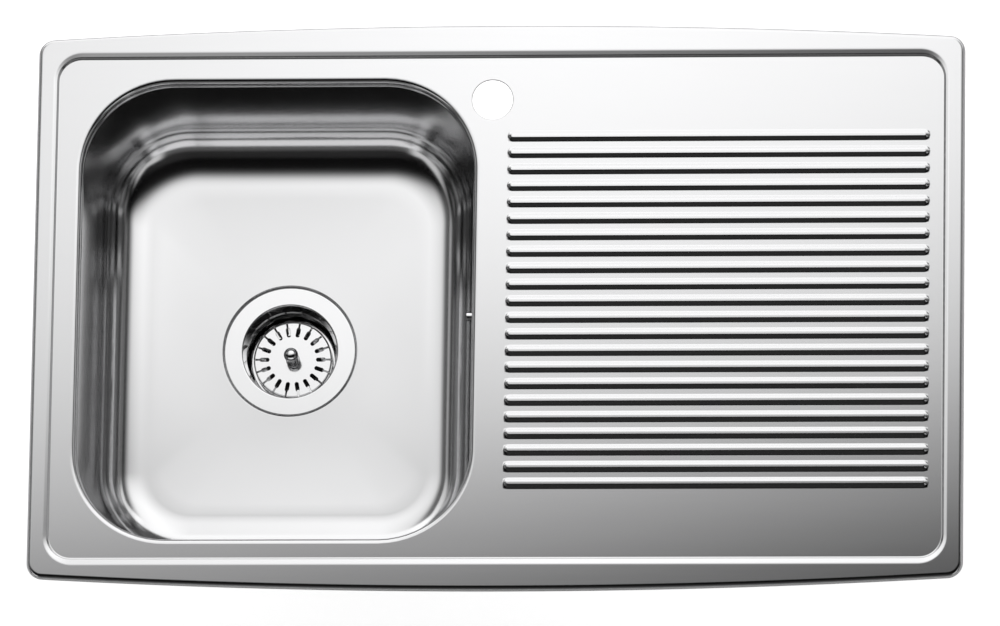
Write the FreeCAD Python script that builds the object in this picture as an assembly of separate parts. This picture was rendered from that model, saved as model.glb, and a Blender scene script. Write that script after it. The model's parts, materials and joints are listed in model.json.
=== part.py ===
"""Inset kitchen sink with one bowl and a ribbed drainer, with its waste, overflow and fixing clips.

Millimetres, +Z up. The origin is the middle of the plan on the worktop's surface: the rim's rolled
lip and its gasket stand on z = 0, and all that hangs lower goes through the worktop's cut-out.
+X runs along the sink from the bowl to the drainer, +Y to the back edge with the tap hole.

Each stainless pressing is one full body less the same body set in by the sheet's thickness. Bends
are short flats on the bend's arc, so that the part stays light to mesh.
"""
import FreeCAD
import Part
import math
import os

V = FreeCAD.Vector
UP = V(0, 0, 1)

# ---- overall pressing ----
sheet = 0.8                 # stainless sheet
length = 800.0              # along X
depth = 500.0               # along Y, at the middle of the bowed edges
edge_bow = 11.7             # how far the long edges bow out between the corners
outline_corner = 14.0
rim_top = 5.7               # top of the rim above the worktop
lip_radius = 5.5            # rolled outer lip
lip_flat_count = 3

# ---- sunk field inside the rim ----
rim_end_width = 14.6        # outer end to the step's upper edge
rim_long_width = 25.3       # middle of a bowed edge to the step's upper edge
recess_corner = 23.0
recess_drop = 3.0           # rim top to drainer deck, down a step at 45 degrees

# ---- bowl ----
bowl_from_left = 24.8       # step's upper edge to the bowl's inside
bowl_from_front = 21.2
bowl_from_back = 25.2
bowl_length = 338.6         # along X, inside the collar
bowl_corner = 78.0
collar_bend = 4.8
collar_flat_count = 2
collar_depth = 8.7          # deck to the weld between collar and bowl
bowl_drop = 150.0           # rim top to the bowl's floor
bowl_draft = 12.0           # how far each wall leans in by the floor
floor_bend = 38.0
floor_flat_count = 3

# ---- tap hole ----
tap_hole_radius = 17.5
tap_hole_from_bowl = 15.4   # bowl's inside to the hole's axis, along X
tap_hole_from_back = 41.0   # step's upper edge to the hole's axis

# ---- drainer ribs ----
rib_pitch = 14.61
rib_from_bowl = 30.5        # bowl's inside to the ribs' ends
rib_from_right = 18.8       # step's upper edge to the ribs' ends
rib_from_back = 72.2        # step's upper edge to the first and last rib's middle
rib_from_front = 70.0
rib_half_width = 5.0
rib_half_crest = 1.2
rib_height = 2.2

# ---- rim gasket and damping pads ----
gasket_width = 5.2
gasket_gap = 0.1            # gasket to the lip's bend
pad_thickness = 2.0
pad_length = 150.0
pad_height = 60.0
drainer_pad_margin = 60.0   # ribs' ends, and the first and last rib, to the pad's edges

# ---- basket strainer waste ----
flange_radius = 57.5
seat_gap = 1.5              # flange edge to the wall of its seat
seat_drop = 4.0
flange_rise = 2.6           # flange top above its seat
throat_radius = 42.5
shoulder_down = 13.0        # flange top to the shoulder in the cup's wall
cup_radius = 39.0
cup_depth = 40.0            # flange top to the cup's bottom
cup_clearance = 1.7         # cup to the bowl's hole and to the waste body
drain_hole_radius = 5.0
drain_hole_circle = 15.0
drain_hole_count = 6
seal_band = 8.0             # width of the flange's seal
seal_thickness = 3.0

body_flange_radius = 56.0
body_flange_thickness = 5.0
body_wall = 2.5
body_chamber = 30.0         # height of the chamber under the cup
funnel_height = 15.0        # chamber down to the outlet
outlet_radius = 23.9        # outside of the threaded outlet
outlet_wall = 3.9
outlet_length = 24.0
hub_radius = 7.0
hub_height = 18.0
hub_margin = 2.0            # spoke's edges to the hub's ends
spoke_count = 3
spoke_thickness = 3.0
clamp_radius = 3.0
clamp_head_radius = 5.5
clamp_head_height = 4.0
clamp_length = 18.0
thread_fit = 0.05
drive_width = 1.2           # screwdriver slots
drive_depth = 1.3

# ---- basket: a sealing plug with a strainer that turns on it ----
body_gap = 0.3              # between pieces that move against each other
plug_seal_radius = 24.0
plug_seal_thickness = 3.0
plug_neck_radius = 8.5
plug_head_clearance = 0.7
plug_crown = 6.0            # solid crown of the hub round the stem's bore
stem_radius = 3.5
stem_foot = 1.0             # hub's web under the stem
running_fit = 0.05
dish_radius = 34.25
dish_sheet = 0.7
dish_down = 29.0            # flange top to the dish's top face
dish_skirt = 6.5
slot_count = 18
slot_width = 3.2
slot_inner = 20.4
slot_outer = 29.0
slit_width = 1.3
knob_radius = 6.4
knob_rise = 17.0            # knob's centre above the dish
knob_belt = 4.8             # height of the knob's straight belt
knob_crown_radius = 3.4
knob_height = 11.8
stem_shoulder_radius = 5.0
stem_shoulder_height = 1.6
stem_waist_radius = 2.6

# ---- overflow ----
overflow_y = 1.0
overflow_down = 42.0        # rim top to the row of slots
overflow_slot_count_each_side = 3
overflow_slot_pitch = 8.0
overflow_slot_width = 5.0
overflow_slot_height = 14.0
overflow_screw_radius = 2.0
overflow_head_radius = 4.2
overflow_head_height = 4.6
overflow_screw_grip = 10.0  # screw's length inside the housing's boss
overflow_hole_gap = 0.3
housing_length = 68.0
housing_height = 28.0
housing_depth = 19.0
housing_wall = 2.0
housing_land = 2.5          # extra width of the housing's face round its room
housing_corner = 7.0
housing_gasket = 2.5
housing_boss = 4.6
pipe_from_wall = 15.6       # bowl's wall at the slots to the pipe's axis
pipe_radius = 9.0
pipe_wall = 1.5
pipe_bend = 34.0
pipe_flat_count = 3
pipe_engaged = 8.0          # length of pipe inside each spigot
spigot_radius = 12.0
spigot_length = 15.0
spigot_root = 6.0           # how far the spigot runs up into the housing
nut_across = 30.0           # across the nut's flats
nut_length = 16.0
nut_overlap = 9.0           # length of nut over the spigot's thread
nut_lip = 2.0               # nut's end wall, which presses the washer

# ---- fixing clips ----
clip_edge_gap = 1.5         # bracket to the foot of the recess step
clip_screw_in = 4.2         # screw's axis inside the bracket's outer edge
clip_from_left = 150.0      # outer end to the clips on the long sides
clip_from_right = 210.0
clip_leg = 10.2
clip_width = 14.0
clip_sheet = 1.5
clip_height = 68.4          # deck's under side to the bracket's foot
clip_screw_radius = 2.5
clip_head_across = 8.0
clip_head_height = 3.5
claw_reach = 28.0
claw_half_width = 4.0
claw_hub_across = 7.2
claw_hub_height = 8.0
claw_plate = 3.0
claw_tip_rise = 5.0

# ---- places and levels worked out from the sizes above ----
recess_half_x = 0.5 * length - rim_end_width
recess_half_y = 0.5 * depth - rim_long_width
bowl_width = 2 * recess_half_y - bowl_from_front - bowl_from_back
bowl_x = -recess_half_x + bowl_from_left + 0.5 * bowl_length
bowl_y = 0.5 * (bowl_from_front - bowl_from_back)
bowl_right = bowl_x + 0.5 * bowl_length
deck_top = rim_top - recess_drop
deck_under = deck_top - sheet
collar_foot = deck_top - collar_depth
floor_z = rim_top - bowl_drop
seat_z = floor_z - seat_drop
seat_radius = flange_radius + seat_gap
flange_top = seat_z + flange_rise
cup_bottom = flange_top - cup_depth
dish_top = flange_top - dish_down
draft_angle = math.atan2(bowl_draft, collar_foot - floor_z)
bowl_hole_radius = throat_radius + cup_clearance
BOWL_AXIS = (bowl_x, bowl_y)
CUT = 1.0                   # how far a cutting body runs past what it cuts
OCTAGON = math.tan(math.radians(22.5))

# outlines in plan: half length, half depth, corner radius, bow of the long sides, centre
RIM = (0.5 * length, 0.5 * depth, outline_corner, edge_bow, (0.0, 0.0))
RECESS = (recess_half_x, recess_half_y, recess_corner, 0.0, (0.0, 0.0))
BOWL = (0.5 * bowl_length, 0.5 * bowl_width, bowl_corner, 0.0, BOWL_AXIS)


# ---------------------------------------------------------------- shared shapes
def arc(centre, radius, middle, half_turn, z):
    """Level arc about centre, from middle - half_turn to middle + half_turn (radians)."""
    angles = (middle - half_turn, middle, middle + half_turn)
    return Part.Arc(*[V(centre[0] + radius * math.cos(a), centre[1] + radius * math.sin(a), z)
                      for a in angles]).toShape()


def outline(path, grow, z):
    """A plan outline at height z, moved outwards by grow: corner arcs tangent to the sides."""
    half_x, half_y, corner, bow, (ox, oy) = path
    cx, cy, lean = half_x - corner, half_y - corner, 0.0
    if bow:
        big = (half_x ** 2 + bow ** 2) / (2 * bow)
        lean = math.asin(cx / (big - corner))
        cy = half_y - big + (big - corner) * math.cos(lean)
    edges = []
    quarter = 0.5 * math.pi
    for turn, (sx, sy) in enumerate(((1, 1), (-1, 1), (-1, -1), (1, -1))):
        middle = quarter * (turn + 0.5) + 0.5 * lean * (-1 if turn in (0, 2) else 1)
        edges.append(arc((ox + sx * cx, oy + sy * cy), corner + grow, middle, 0.5 * (quarter - lean), z))
        if turn in (1, 3):
            x = ox + sx * (half_x + grow)
            edges.append(Part.LineSegment(V(x, oy + sy * cy, z), V(x, oy - sy * cy, z)).toShape())
        elif bow:
            edges.append(arc((ox, oy + sy * (half_y - big)), big + grow, quarter * (turn + 1), lean, z))
        else:
            y = oy + sy * (half_y + grow)
            edges.append(Part.LineSegment(V(ox + sx * cx, y, z), V(ox - sx * cx, y, z)).toShape())
    return Part.Wire(edges)


def stacked(path, profile):
    """Solid with straight flats between the outlines given by (grow, z) pairs."""
    return Part.makeLoft([outline(path, grow, z) for grow, z in profile], True, True)


def bend(centre, radius, start, end, flats):
    """(grow, z) points on an arc of the profile, from one angle to another in degrees."""
    angles = [math.radians(start + (end - start) * step / flats) for step in range(flats + 1)]
    return [(centre[0] + radius * math.cos(a), centre[1] + radius * math.sin(a)) for a in angles]


def revolved(points, centre=(0.0, 0.0)):
    """Solid of revolution about an upright axis from (radius, z) corners."""
    corners = [V(r, 0, z) for r, z in points]
    solid = Part.Face(Part.makePolygon(corners + corners[:1])).revolve(V(0, 0, 0), UP, 360)
    solid.translate(V(centre[0], centre[1], 0))
    return solid


def rod(radius, low, high, centre=(0.0, 0.0)):
    """Plain upright cylinder."""
    return Part.makeCylinder(radius, high - low, V(centre[0], centre[1], low))


def tube(outer, inner, low, high, centre=(0.0, 0.0)):
    """Plain upright ring."""
    return rod(outer, low, high, centre).cut(rod(inner, low, high, centre))


def prism(points, low, high):
    """Upright prism over plan points."""
    corners = [V(x, y, low) for x, y in points]
    return Part.Face(Part.makePolygon(corners + corners[:1])).extrude(V(0, 0, high - low))


def long_octagon(half_length, half_width):
    """Plan points of a slot or rib whose ends are three flats round the end's circle."""
    middle = half_length - half_width
    k = OCTAGON * half_width
    quarter = [(middle + half_width, k), (middle + k, half_width)]
    upper = quarter + [(-x, y) for x, y in reversed(quarter)]
    return upper + [(-x, -y) for x, y in upper]


def hexagon(across):
    """Plan points of a hexagon with flats to both sides, by the width across them."""
    radius = across / math.sqrt(3)
    angles = [math.radians(60 * side + 30) for side in range(6)]
    return [(radius * math.cos(a), radius * math.sin(a)) for a in angles]


def box(size, low):
    """Block from its size and its lowest corner."""
    return Part.makeBox(size[0], size[1], size[2], V(*low))


def turned(shape, angle, centre=(0.0, 0.0), axis=UP):
    """Copy turned about the origin's axis by degrees, then moved to centre in plan."""
    copy = shape.copy()
    copy.rotate(V(0, 0, 0), axis, angle)
    copy.translate(V(centre[0], centre[1], 0))
    return copy


# ---------------------------------------------------------------- top pressing
def rim_body(inset):
    """Full body under the rim's skin, with the rolled lip and the sunk field."""
    lip = min(lip_radius, rim_top)
    profile = bend((-lip, rim_top - lip), lip - inset, 0, 90, lip_flat_count)
    if inset or rim_top > lip:
        profile.insert(0, (-inset, collar_foot - CUT if inset else 0.0))
    grow = inset * OCTAGON
    field = [(grow - recess_drop, deck_top - inset), (grow + CUT, rim_top - inset + CUT)]
    return stacked(RIM, profile).cut(stacked(RECESS, field))


def with_opening(body, inset):
    """Opens the bowl's hole in the deck, with the bend of its collar."""
    if inset == 0:
        reach = collar_bend + sheet
        body = body.fuse(stacked(BOWL, [(reach, collar_foot), (reach, deck_under)])).removeSplitter()
    middle = (collar_bend, deck_top - collar_bend)
    turn = bend(middle, collar_bend - inset, 180, 90, collar_flat_count)
    hole = [(inset, collar_foot - CUT)] + turn + [(collar_bend, deck_top + CUT)]
    return body.cut(stacked(BOWL, hole))


def rib(inset):
    """One raised rib at the drainer's first row."""
    slope = math.atan2(rib_height, rib_half_width - rib_half_crest)
    shift = inset * math.tan(0.5 * slope)
    half = 0.5 * (recess_half_x - rib_from_right - bowl_right - rib_from_bowl)
    wires = []
    for width, z in ((rib_half_width + CUT / math.tan(slope), deck_top - CUT),
                     (rib_half_crest, deck_top + rib_height)):
        points = long_octagon(half - rib_half_width + width - shift, width - shift)
        corners = [V(x, y, z - inset) for x, y in points]
        wires.append(Part.makePolygon(corners + corners[:1]))
    solid = Part.makeLoft(wires, True, True)
    solid.translate(V(bowl_right + rib_from_bowl + half, recess_half_y - rib_from_back, 0))
    return solid


def with_ribs(body, inset):
    """Adds the drainer's rows of ribs."""
    field = 2 * recess_half_y - rib_from_back - rib_from_front
    rows = [rib(inset) for _ in range(int(field / rib_pitch) + 1)]
    for row, solid in enumerate(rows):
        solid.translate(V(0, -row * rib_pitch, 0))
    return body.fuse(rows)


def deck_pressing():
    """Rim, recess, drainer and collar as one sheet."""
    skins = [with_ribs(with_opening(rim_body(inset), inset), inset) for inset in (0.0, sheet)]
    tap = (bowl_right + tap_hole_from_bowl, recess_half_y - tap_hole_from_back)
    return skins[0].cut(skins[1]).cut(rod(tap_hole_radius, -rim_top, 2 * rim_top, tap))


# ---------------------------------------------------------------- bowl
def bowl_body(grow):
    """Full body of the bowl, grown outwards by the sheet for its outer skin."""
    lean = math.degrees(draft_angle)
    middle_z = floor_z + floor_bend
    wall = -bowl_draft * (collar_foot - middle_z) / (collar_foot - floor_z)
    middle = (wall - floor_bend / math.cos(draft_angle), middle_z)
    turn = bend(middle, floor_bend + grow, -lean, -90, floor_flat_count)
    return stacked(BOWL, [(grow / math.cos(draft_angle), collar_foot)] + turn)


def wall_x(z):
    """Inside of the bowl's right-hand wall at height z."""
    return bowl_right - bowl_draft * (collar_foot - z) / (collar_foot - floor_z)


def on_wall(shape):
    """Places a shape made with its own Z along the right wall's normal, and X down the wall."""
    z = rim_top - overflow_down
    placed = turned(shape, 90 + math.degrees(draft_angle), axis=V(0, 1, 0))
    placed.translate(V(wall_x(z), overflow_y, z))
    return placed


def bowl():
    """Drawn bowl with its sunk seat, butt-welded under the deck's collar."""
    outer = bowl_body(sheet).fuse(rod(seat_radius + sheet, seat_z - sheet, floor_z, BOWL_AXIS))
    inner = bowl_body(0.0).fuse(rod(seat_radius, seat_z, floor_z + CUT, BOWL_AXIS))
    tools = [rod(bowl_hole_radius, seat_z - sheet - CUT, seat_z + CUT, BOWL_AXIS),
             on_wall(rod(overflow_screw_radius + overflow_hole_gap, -CUT, sheet + CUT))]
    points = long_octagon(0.5 * overflow_slot_height, 0.5 * overflow_slot_width)
    for row in range(1, overflow_slot_count_each_side + 1):
        for way in (-1, 1):
            slot = prism(points, -CUT, sheet + CUT)
            slot.translate(V(0, way * row * overflow_slot_pitch, 0))
            tools.append(on_wall(slot))
    return outer.removeSplitter().cut(inner.removeSplitter()).cut(tools)


# ---------------------------------------------------------------- gasket and pads
def rim_gasket():
    """Foam strip under the rim's flat, against the lip's bend."""
    outer = min(lip_radius, rim_top) + gasket_gap
    ring = [stacked(RIM, [(-inset, 0.0), (-inset, rim_top - sheet)]) for inset in (outer, outer + gasket_width)]
    return ring[0].cut(ring[1])


def wall_pad(across, along):
    """Damping pad on the slope of a wall: its own X along the wall, its back on the bowl's outside."""
    lean = math.degrees(draft_angle)
    middle = 0.5 * (collar_foot + floor_z + floor_bend)
    out = across - bowl_draft * (collar_foot - middle) / (collar_foot - floor_z)
    pad = box((along, pad_thickness, pad_height), (-0.5 * along, sheet, -0.5 * pad_height))
    pad.rotate(V(0, 0, 0), V(1, 0, 0), -lean)
    pad.translate(V(0, out, middle))
    return pad


def bowl_pads():
    """Pads on the bowl's left and front walls."""
    left = turned(wall_pad(0.5 * bowl_length, pad_length), 90, BOWL_AXIS)
    front = turned(wall_pad(0.5 * bowl_width, pad_length), 180, BOWL_AXIS)
    return {"bowl_pad_left": left, "bowl_pad_front": front}


def drainer_pad():
    """Damping pad under the drainer, across the flats between the ribs."""
    left = bowl_right + rib_from_bowl + drainer_pad_margin
    right = recess_half_x - rib_from_right - drainer_pad_margin
    front = -recess_half_y + rib_from_front + drainer_pad_margin
    back = recess_half_y - rib_from_back - drainer_pad_margin
    return box((right - left, back - front, pad_thickness), (left, front, deck_under - pad_thickness))


# ---------------------------------------------------------------- waste
def waste_cup():
    """Pressed flange and cup of the strainer waste, with drain holes and the clamp screw's hole."""
    shoulder = flange_top - shoulder_down
    cup = revolved([(flange_radius, seat_z), (flange_radius, flange_top), (throat_radius, flange_top),
                    (throat_radius, shoulder), (cup_radius, shoulder), (cup_radius, cup_bottom),
                    (0, cup_bottom), (0, cup_bottom - sheet), (cup_radius + sheet, cup_bottom - sheet),
                    (cup_radius + sheet, shoulder - sheet), (throat_radius + sheet, shoulder - sheet),
                    (throat_radius + sheet, flange_top - sheet),
                    (flange_radius - sheet, flange_top - sheet), (flange_radius - sheet, seat_z)],
                   BOWL_AXIS)
    low, high = cup_bottom - sheet - CUT, cup_bottom + CUT
    holes = [rod(clamp_radius + thread_fit, low, high, BOWL_AXIS)]
    for index in range(drain_hole_count):
        angle = 2 * math.pi * (index + 0.5) / drain_hole_count
        holes.append(rod(drain_hole_radius, low, high, (bowl_x + drain_hole_circle * math.cos(angle),
                                                        bowl_y + drain_hole_circle * math.sin(angle))))
    return cup.cut(holes)


def flange_seal():
    """Seal between the flange and its seat in the bowl."""
    outer = flange_radius - sheet - body_gap
    return tube(outer, outer - seal_band, seat_z, flange_top - sheet, BOWL_AXIS)


def body_levels():
    """Heights of the waste body: top, chamber's foot, funnel's foot, outlet's end."""
    top = seat_z - sheet - seal_thickness
    chamber = cup_bottom - sheet - body_chamber
    return top, chamber, chamber - funnel_height, chamber - funnel_height - outlet_length


def body_seal():
    """Thick washer between the bowl's under side and the waste body."""
    top = body_levels()[0]
    return tube(body_flange_radius, bowl_hole_radius + body_gap, top, top + seal_thickness, BOWL_AXIS)


def waste_body():
    """Moulded body: flange, chamber with the overflow's inlet, clamp hub on spokes, threaded outlet."""
    top, chamber, funnel, end = body_levels()
    inner = throat_radius + sheet + cup_clearance
    outer = inner + body_wall
    bore = outlet_radius - outlet_wall
    body = revolved([(inner, top), (body_flange_radius, top), (body_flange_radius, top - body_flange_thickness),
                     (outer, top - body_flange_thickness), (outer, chamber), (outlet_radius, funnel),
                     (outlet_radius, end), (bore, end), (bore, funnel), (inner, chamber)], BOWL_AXIS)
    hub_top = cup_bottom - sheet
    hub_foot = hub_top - hub_height
    pieces = [rod(hub_radius, hub_foot, hub_top, BOWL_AXIS)]
    spoke = box((inner + 0.5 * body_wall, spoke_thickness, hub_height - 2 * hub_margin),
                (0, -0.5 * spoke_thickness, hub_foot + hub_margin))
    for index in range(spoke_count):
        pieces.append(turned(spoke, (index + 0.5) * 360.0 / spoke_count, BOWL_AXIS))
    spigot_start = V(bowl_x + inner, bowl_y, inlet_level())
    spigot_run = inlet_end_x() - spigot_start.x
    pieces.append(Part.makeCylinder(spigot_radius, spigot_run, spigot_start, V(1, 0, 0)))
    bores = [Part.makeCylinder(pipe_radius + running_fit, spigot_run + body_wall + CUT,
                               spigot_start - V(body_wall, 0, 0), V(1, 0, 0)),
             rod(clamp_radius + thread_fit, hub_foot - CUT, hub_top + CUT, BOWL_AXIS)]
    return body.fuse(pieces).cut(bores)


def inlet_level():
    """Height of the overflow's inlet in the chamber."""
    return cup_bottom - sheet - 0.5 * body_chamber


def inlet_end_x():
    """Free end of the inlet's spigot."""
    return bowl_x + throat_radius + sheet + cup_clearance + body_wall + spigot_length


def slotted_screw(radius, end, head_radius, seat, head_top):
    """Upright screw from its end to the top of its round head, with a screwdriver slot."""
    head = rod(head_radius, seat, head_top)
    drive = box((2 * head_radius + 2 * CUT, drive_width, drive_depth + CUT),
                (-head_radius - CUT, -0.5 * drive_width, head_top - drive_depth))
    return head.fuse(rod(radius, end, seat)).cut(drive)


def clamp_screw():
    """Screw that draws the waste body up to the cup."""
    return turned(slotted_screw(clamp_radius, cup_bottom - clamp_length, clamp_head_radius, cup_bottom,
                                cup_bottom + clamp_head_height), 0, BOWL_AXIS)


# ---------------------------------------------------------------- basket
def plug_hub():
    """Hub that caps the clamp screw's head, carries the seal and holds the stem."""
    foot = cup_bottom + body_gap
    crown = dish_top - dish_sheet - body_gap
    web = cup_bottom + clamp_head_height + plug_head_clearance
    inner = clamp_head_radius + plug_head_clearance
    return revolved([(inner, foot), (plug_neck_radius, foot), (plug_neck_radius, crown),
                     (stem_radius + running_fit, crown), (stem_radius + running_fit, web + stem_foot),
                     (0, web + stem_foot), (0, web), (inner, web)], BOWL_AXIS)


def plug_seal():
    """Rubber disc that closes the cup's drain holes."""
    foot = cup_bottom + body_gap
    return tube(plug_seal_radius, plug_neck_radius, foot, foot + plug_seal_thickness, BOWL_AXIS)


def strainer_dish():
    """Dish with radial slots that open into slits between the bent-down tabs of its rim."""
    foot = dish_top - dish_skirt
    inner = dish_radius - dish_sheet
    dish = rod(dish_radius, foot, dish_top).cut(rod(inner, foot, dish_top - dish_sheet))
    half = 0.5 * (slot_outer - slot_inner)
    slot = prism(long_octagon(half, 0.5 * slot_width), dish_top - dish_sheet - CUT, dish_top + CUT)
    slot.translate(V(slot_inner + half, 0, 0))
    slit = box((dish_radius - slot_outer + 2 * CUT, slit_width, dish_skirt + 2 * CUT),
               (slot_outer - CUT, -0.5 * slit_width, foot - CUT))
    tool = slot.fuse(slit)
    tools = [turned(tool, index * 360.0 / slot_count) for index in range(slot_count)]
    return turned(dish.cut(tools).cut(rod(stem_radius, foot, dish_top)), 0, BOWL_AXIS)


def strainer_stem():
    """Turned stem: runs in the hub, carries the dish under its shoulder and the knob on its waist."""
    knob_foot = dish_top + knob_rise - 0.5 * knob_height
    foot = cup_bottom + clamp_head_height + plug_head_clearance + stem_foot + body_gap
    shoulder = dish_top + stem_shoulder_height
    return revolved([(0, foot), (stem_radius, foot), (stem_radius, dish_top),
                     (stem_shoulder_radius, dish_top), (stem_shoulder_radius, shoulder),
                     (stem_waist_radius, shoulder), (stem_waist_radius, knob_foot), (0, knob_foot)],
                    BOWL_AXIS)


def strainer_knob():
    """Ball-like knob: a straight belt between two cones."""
    middle = dish_top + knob_rise
    levels = [middle + side * 0.5 * height for side, height in
              ((-1, knob_height), (-1, knob_belt), (1, knob_belt), (1, knob_height))]
    return revolved([(0, levels[0]), (knob_crown_radius, levels[0]), (knob_radius, levels[1]),
                     (knob_radius, levels[2]), (knob_crown_radius, levels[3]), (0, levels[3])], BOWL_AXIS)


# ---------------------------------------------------------------- overflow
def overflow_screw():
    """Pan-head screw through the bowl's wall into the housing."""
    screw = slotted_screw(overflow_screw_radius, -sheet - housing_gasket - overflow_screw_grip,
                          overflow_head_radius, 0.0, overflow_head_height)
    return on_wall(turned(turned(screw, 90), 180, axis=V(1, 0, 0)))


def housing_block(margin, low, high):
    """Block on the wall behind the slots, with cut corners, set in by a margin."""
    x, y = 0.5 * housing_height - margin, 0.5 * housing_length - margin
    corner = max(housing_corner - margin, CUT)
    points = [(x, y - corner), (x - corner, y), (corner - x, y), (-x, y - corner)]
    return prism(points + [(-px, -py) for px, py in points], low, high)


def overflow_gasket():
    """Foam gasket between the bowl's wall and the housing, open over the slots."""
    back = sheet + housing_gasket
    room = housing_block(housing_wall + housing_land, sheet, back)
    return on_wall(housing_block(0.0, sheet, back).cut(room))


def housing_levels():
    """Foot of the overflow's housing and the free end of its spigot."""
    foot = rim_top - overflow_down - 0.5 * housing_height * math.cos(draft_angle)
    return foot, foot - spigot_length


def pipe_x():
    """Axis of the pipe's upright run."""
    return wall_x(rim_top - overflow_down) + pipe_from_wall


def overflow_housing():
    """Moulded box behind the slots, with a screw boss and a spigot down to the pipe."""
    face = sheet + housing_gasket
    room = housing_block(housing_wall + housing_land, face, face + housing_depth - housing_wall)
    boss = rod(housing_boss, face, face + housing_depth - housing_wall)
    bore = rod(overflow_screw_radius + thread_fit, face, face + overflow_screw_grip + CUT)
    case = on_wall(housing_block(0.0, face, face + housing_depth).cut(room).fuse(boss).cut(bore))
    foot, end = housing_levels()
    axis = (pipe_x(), bowl_y)
    spigot = rod(spigot_radius, end, foot + spigot_root, axis).cut(on_wall(room))
    passage = rod(pipe_radius + running_fit, end - CUT, foot + spigot_root, axis)
    return case.fuse(spigot).cut(passage)


def pipe_solid(radius, top, level, end_x):
    """Upright run, mitred bend and level run, all of one radius."""
    turn = bend((pipe_x() - pipe_bend, level + pipe_bend), pipe_bend, 0, -90, pipe_flat_count)
    steps = [V(x, bowl_y, z) for x, z in [(pipe_x(), top)] + turn + [(end_x, level)]]
    path = Part.Wire(Part.makePolygon(steps))
    start = Part.Wire(Part.makeCircle(radius, steps[0], UP))
    return path.makePipeShell([start], True, False, 1)


def overflow_pipe():
    """Rigid pipe from the overflow's housing to the waste body's inlet."""
    top = housing_levels()[1] + pipe_engaged
    end_x = inlet_end_x() - pipe_engaged
    level = inlet_level()
    return pipe_solid(pipe_radius, top, level, end_x).cut(
        pipe_solid(pipe_radius - pipe_wall, top, level, end_x))


def coupling_nut():
    """Union nut about its own axis: z = 0 is the spigot's end, +Z away from the spigot."""
    low, high = -nut_overlap, nut_length - nut_overlap
    bores = rod(spigot_radius + thread_fit, low, high - nut_lip).fuse(rod(pipe_radius + body_gap, 0, high))
    return prism(hexagon(nut_across), low, high).cut(bores)


def coupling_washer():
    """Thick rubber washer round the pipe, between the spigot's end and the nut's lip."""
    return tube(spigot_radius, pipe_radius + running_fit, 0, nut_length - nut_overlap - nut_lip)


def at_housing(shape):
    """Coupling piece placed on the housing's spigot, facing down."""
    placed = turned(shape, 180, (pipe_x(), bowl_y), V(1, 0, 0))
    placed.translate(V(0, 0, housing_levels()[1]))
    return placed


def at_inlet(shape):
    """Coupling piece placed on the waste body's inlet, facing +X."""
    placed = turned(shape, 90, (inlet_end_x(), bowl_y), V(0, 1, 0))
    placed.translate(V(0, 0, inlet_level()))
    return placed


# ---------------------------------------------------------------- fixing clips
def clip_places():
    """Axis and outward angle of each clip's screw, along the foot of the recess step."""
    inside = recess_drop + clip_edge_gap + clip_screw_in
    edge_x, edge_y = recess_half_x - inside, recess_half_y - inside
    places = [(edge_x, 0.0, 0.0), (-edge_x, 0.0, 180.0)]
    for x in (clip_from_left - 0.5 * length, 0.5 * length - clip_from_right):
        places += [(x, edge_y, 90.0), (x, -edge_y, -90.0)]
    return places


def clip_bracket():
    """C-shaped bracket about its screw's axis, open outwards (+X), its top leg on the deck."""
    low = deck_under - clip_height
    back = clip_screw_in - clip_leg
    legs = box((clip_leg, clip_width, clip_height), (back, -0.5 * clip_width, low))
    room = box((clip_leg, clip_width, clip_height - 2 * clip_sheet),
               (back + clip_sheet, -0.5 * clip_width, low + clip_sheet))
    return legs.cut(room).cut(rod(clip_screw_radius + running_fit, low, low + clip_sheet))


def clip_screw():
    """Long hex-head screw through the lower leg, up to just under the upper one."""
    leg = deck_under - clip_height
    head_top = leg - body_gap
    head = prism(hexagon(clip_head_across), head_top - clip_head_height, head_top)
    return head.fuse(rod(clip_screw_radius, head_top, deck_under - clip_sheet - body_gap))


def clip_claw():
    """Claw threaded on the screw; at rest it lies along the edge (-Y), its tooth turned up."""
    foot = deck_under - clip_height + clip_sheet + body_gap
    top = foot + claw_hub_height
    wide = 2 * claw_half_width
    claw = prism(hexagon(claw_hub_across), foot, top)
    plate = box((wide, claw_reach, claw_plate), (-claw_half_width, -claw_reach, top - claw_plate))
    tooth = box((wide, claw_plate, claw_plate + claw_tip_rise),
                (-claw_half_width, -claw_reach, top - claw_plate))
    claw = claw.fuse([plate, tooth]).removeSplitter()
    return claw.cut(rod(clip_screw_radius + running_fit, foot, top))


def placed_clip(shape, place):
    """Turns a clip piece outwards and moves it to its place."""
    x, y, angle = place
    return turned(shape, angle, (x, y))


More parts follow.
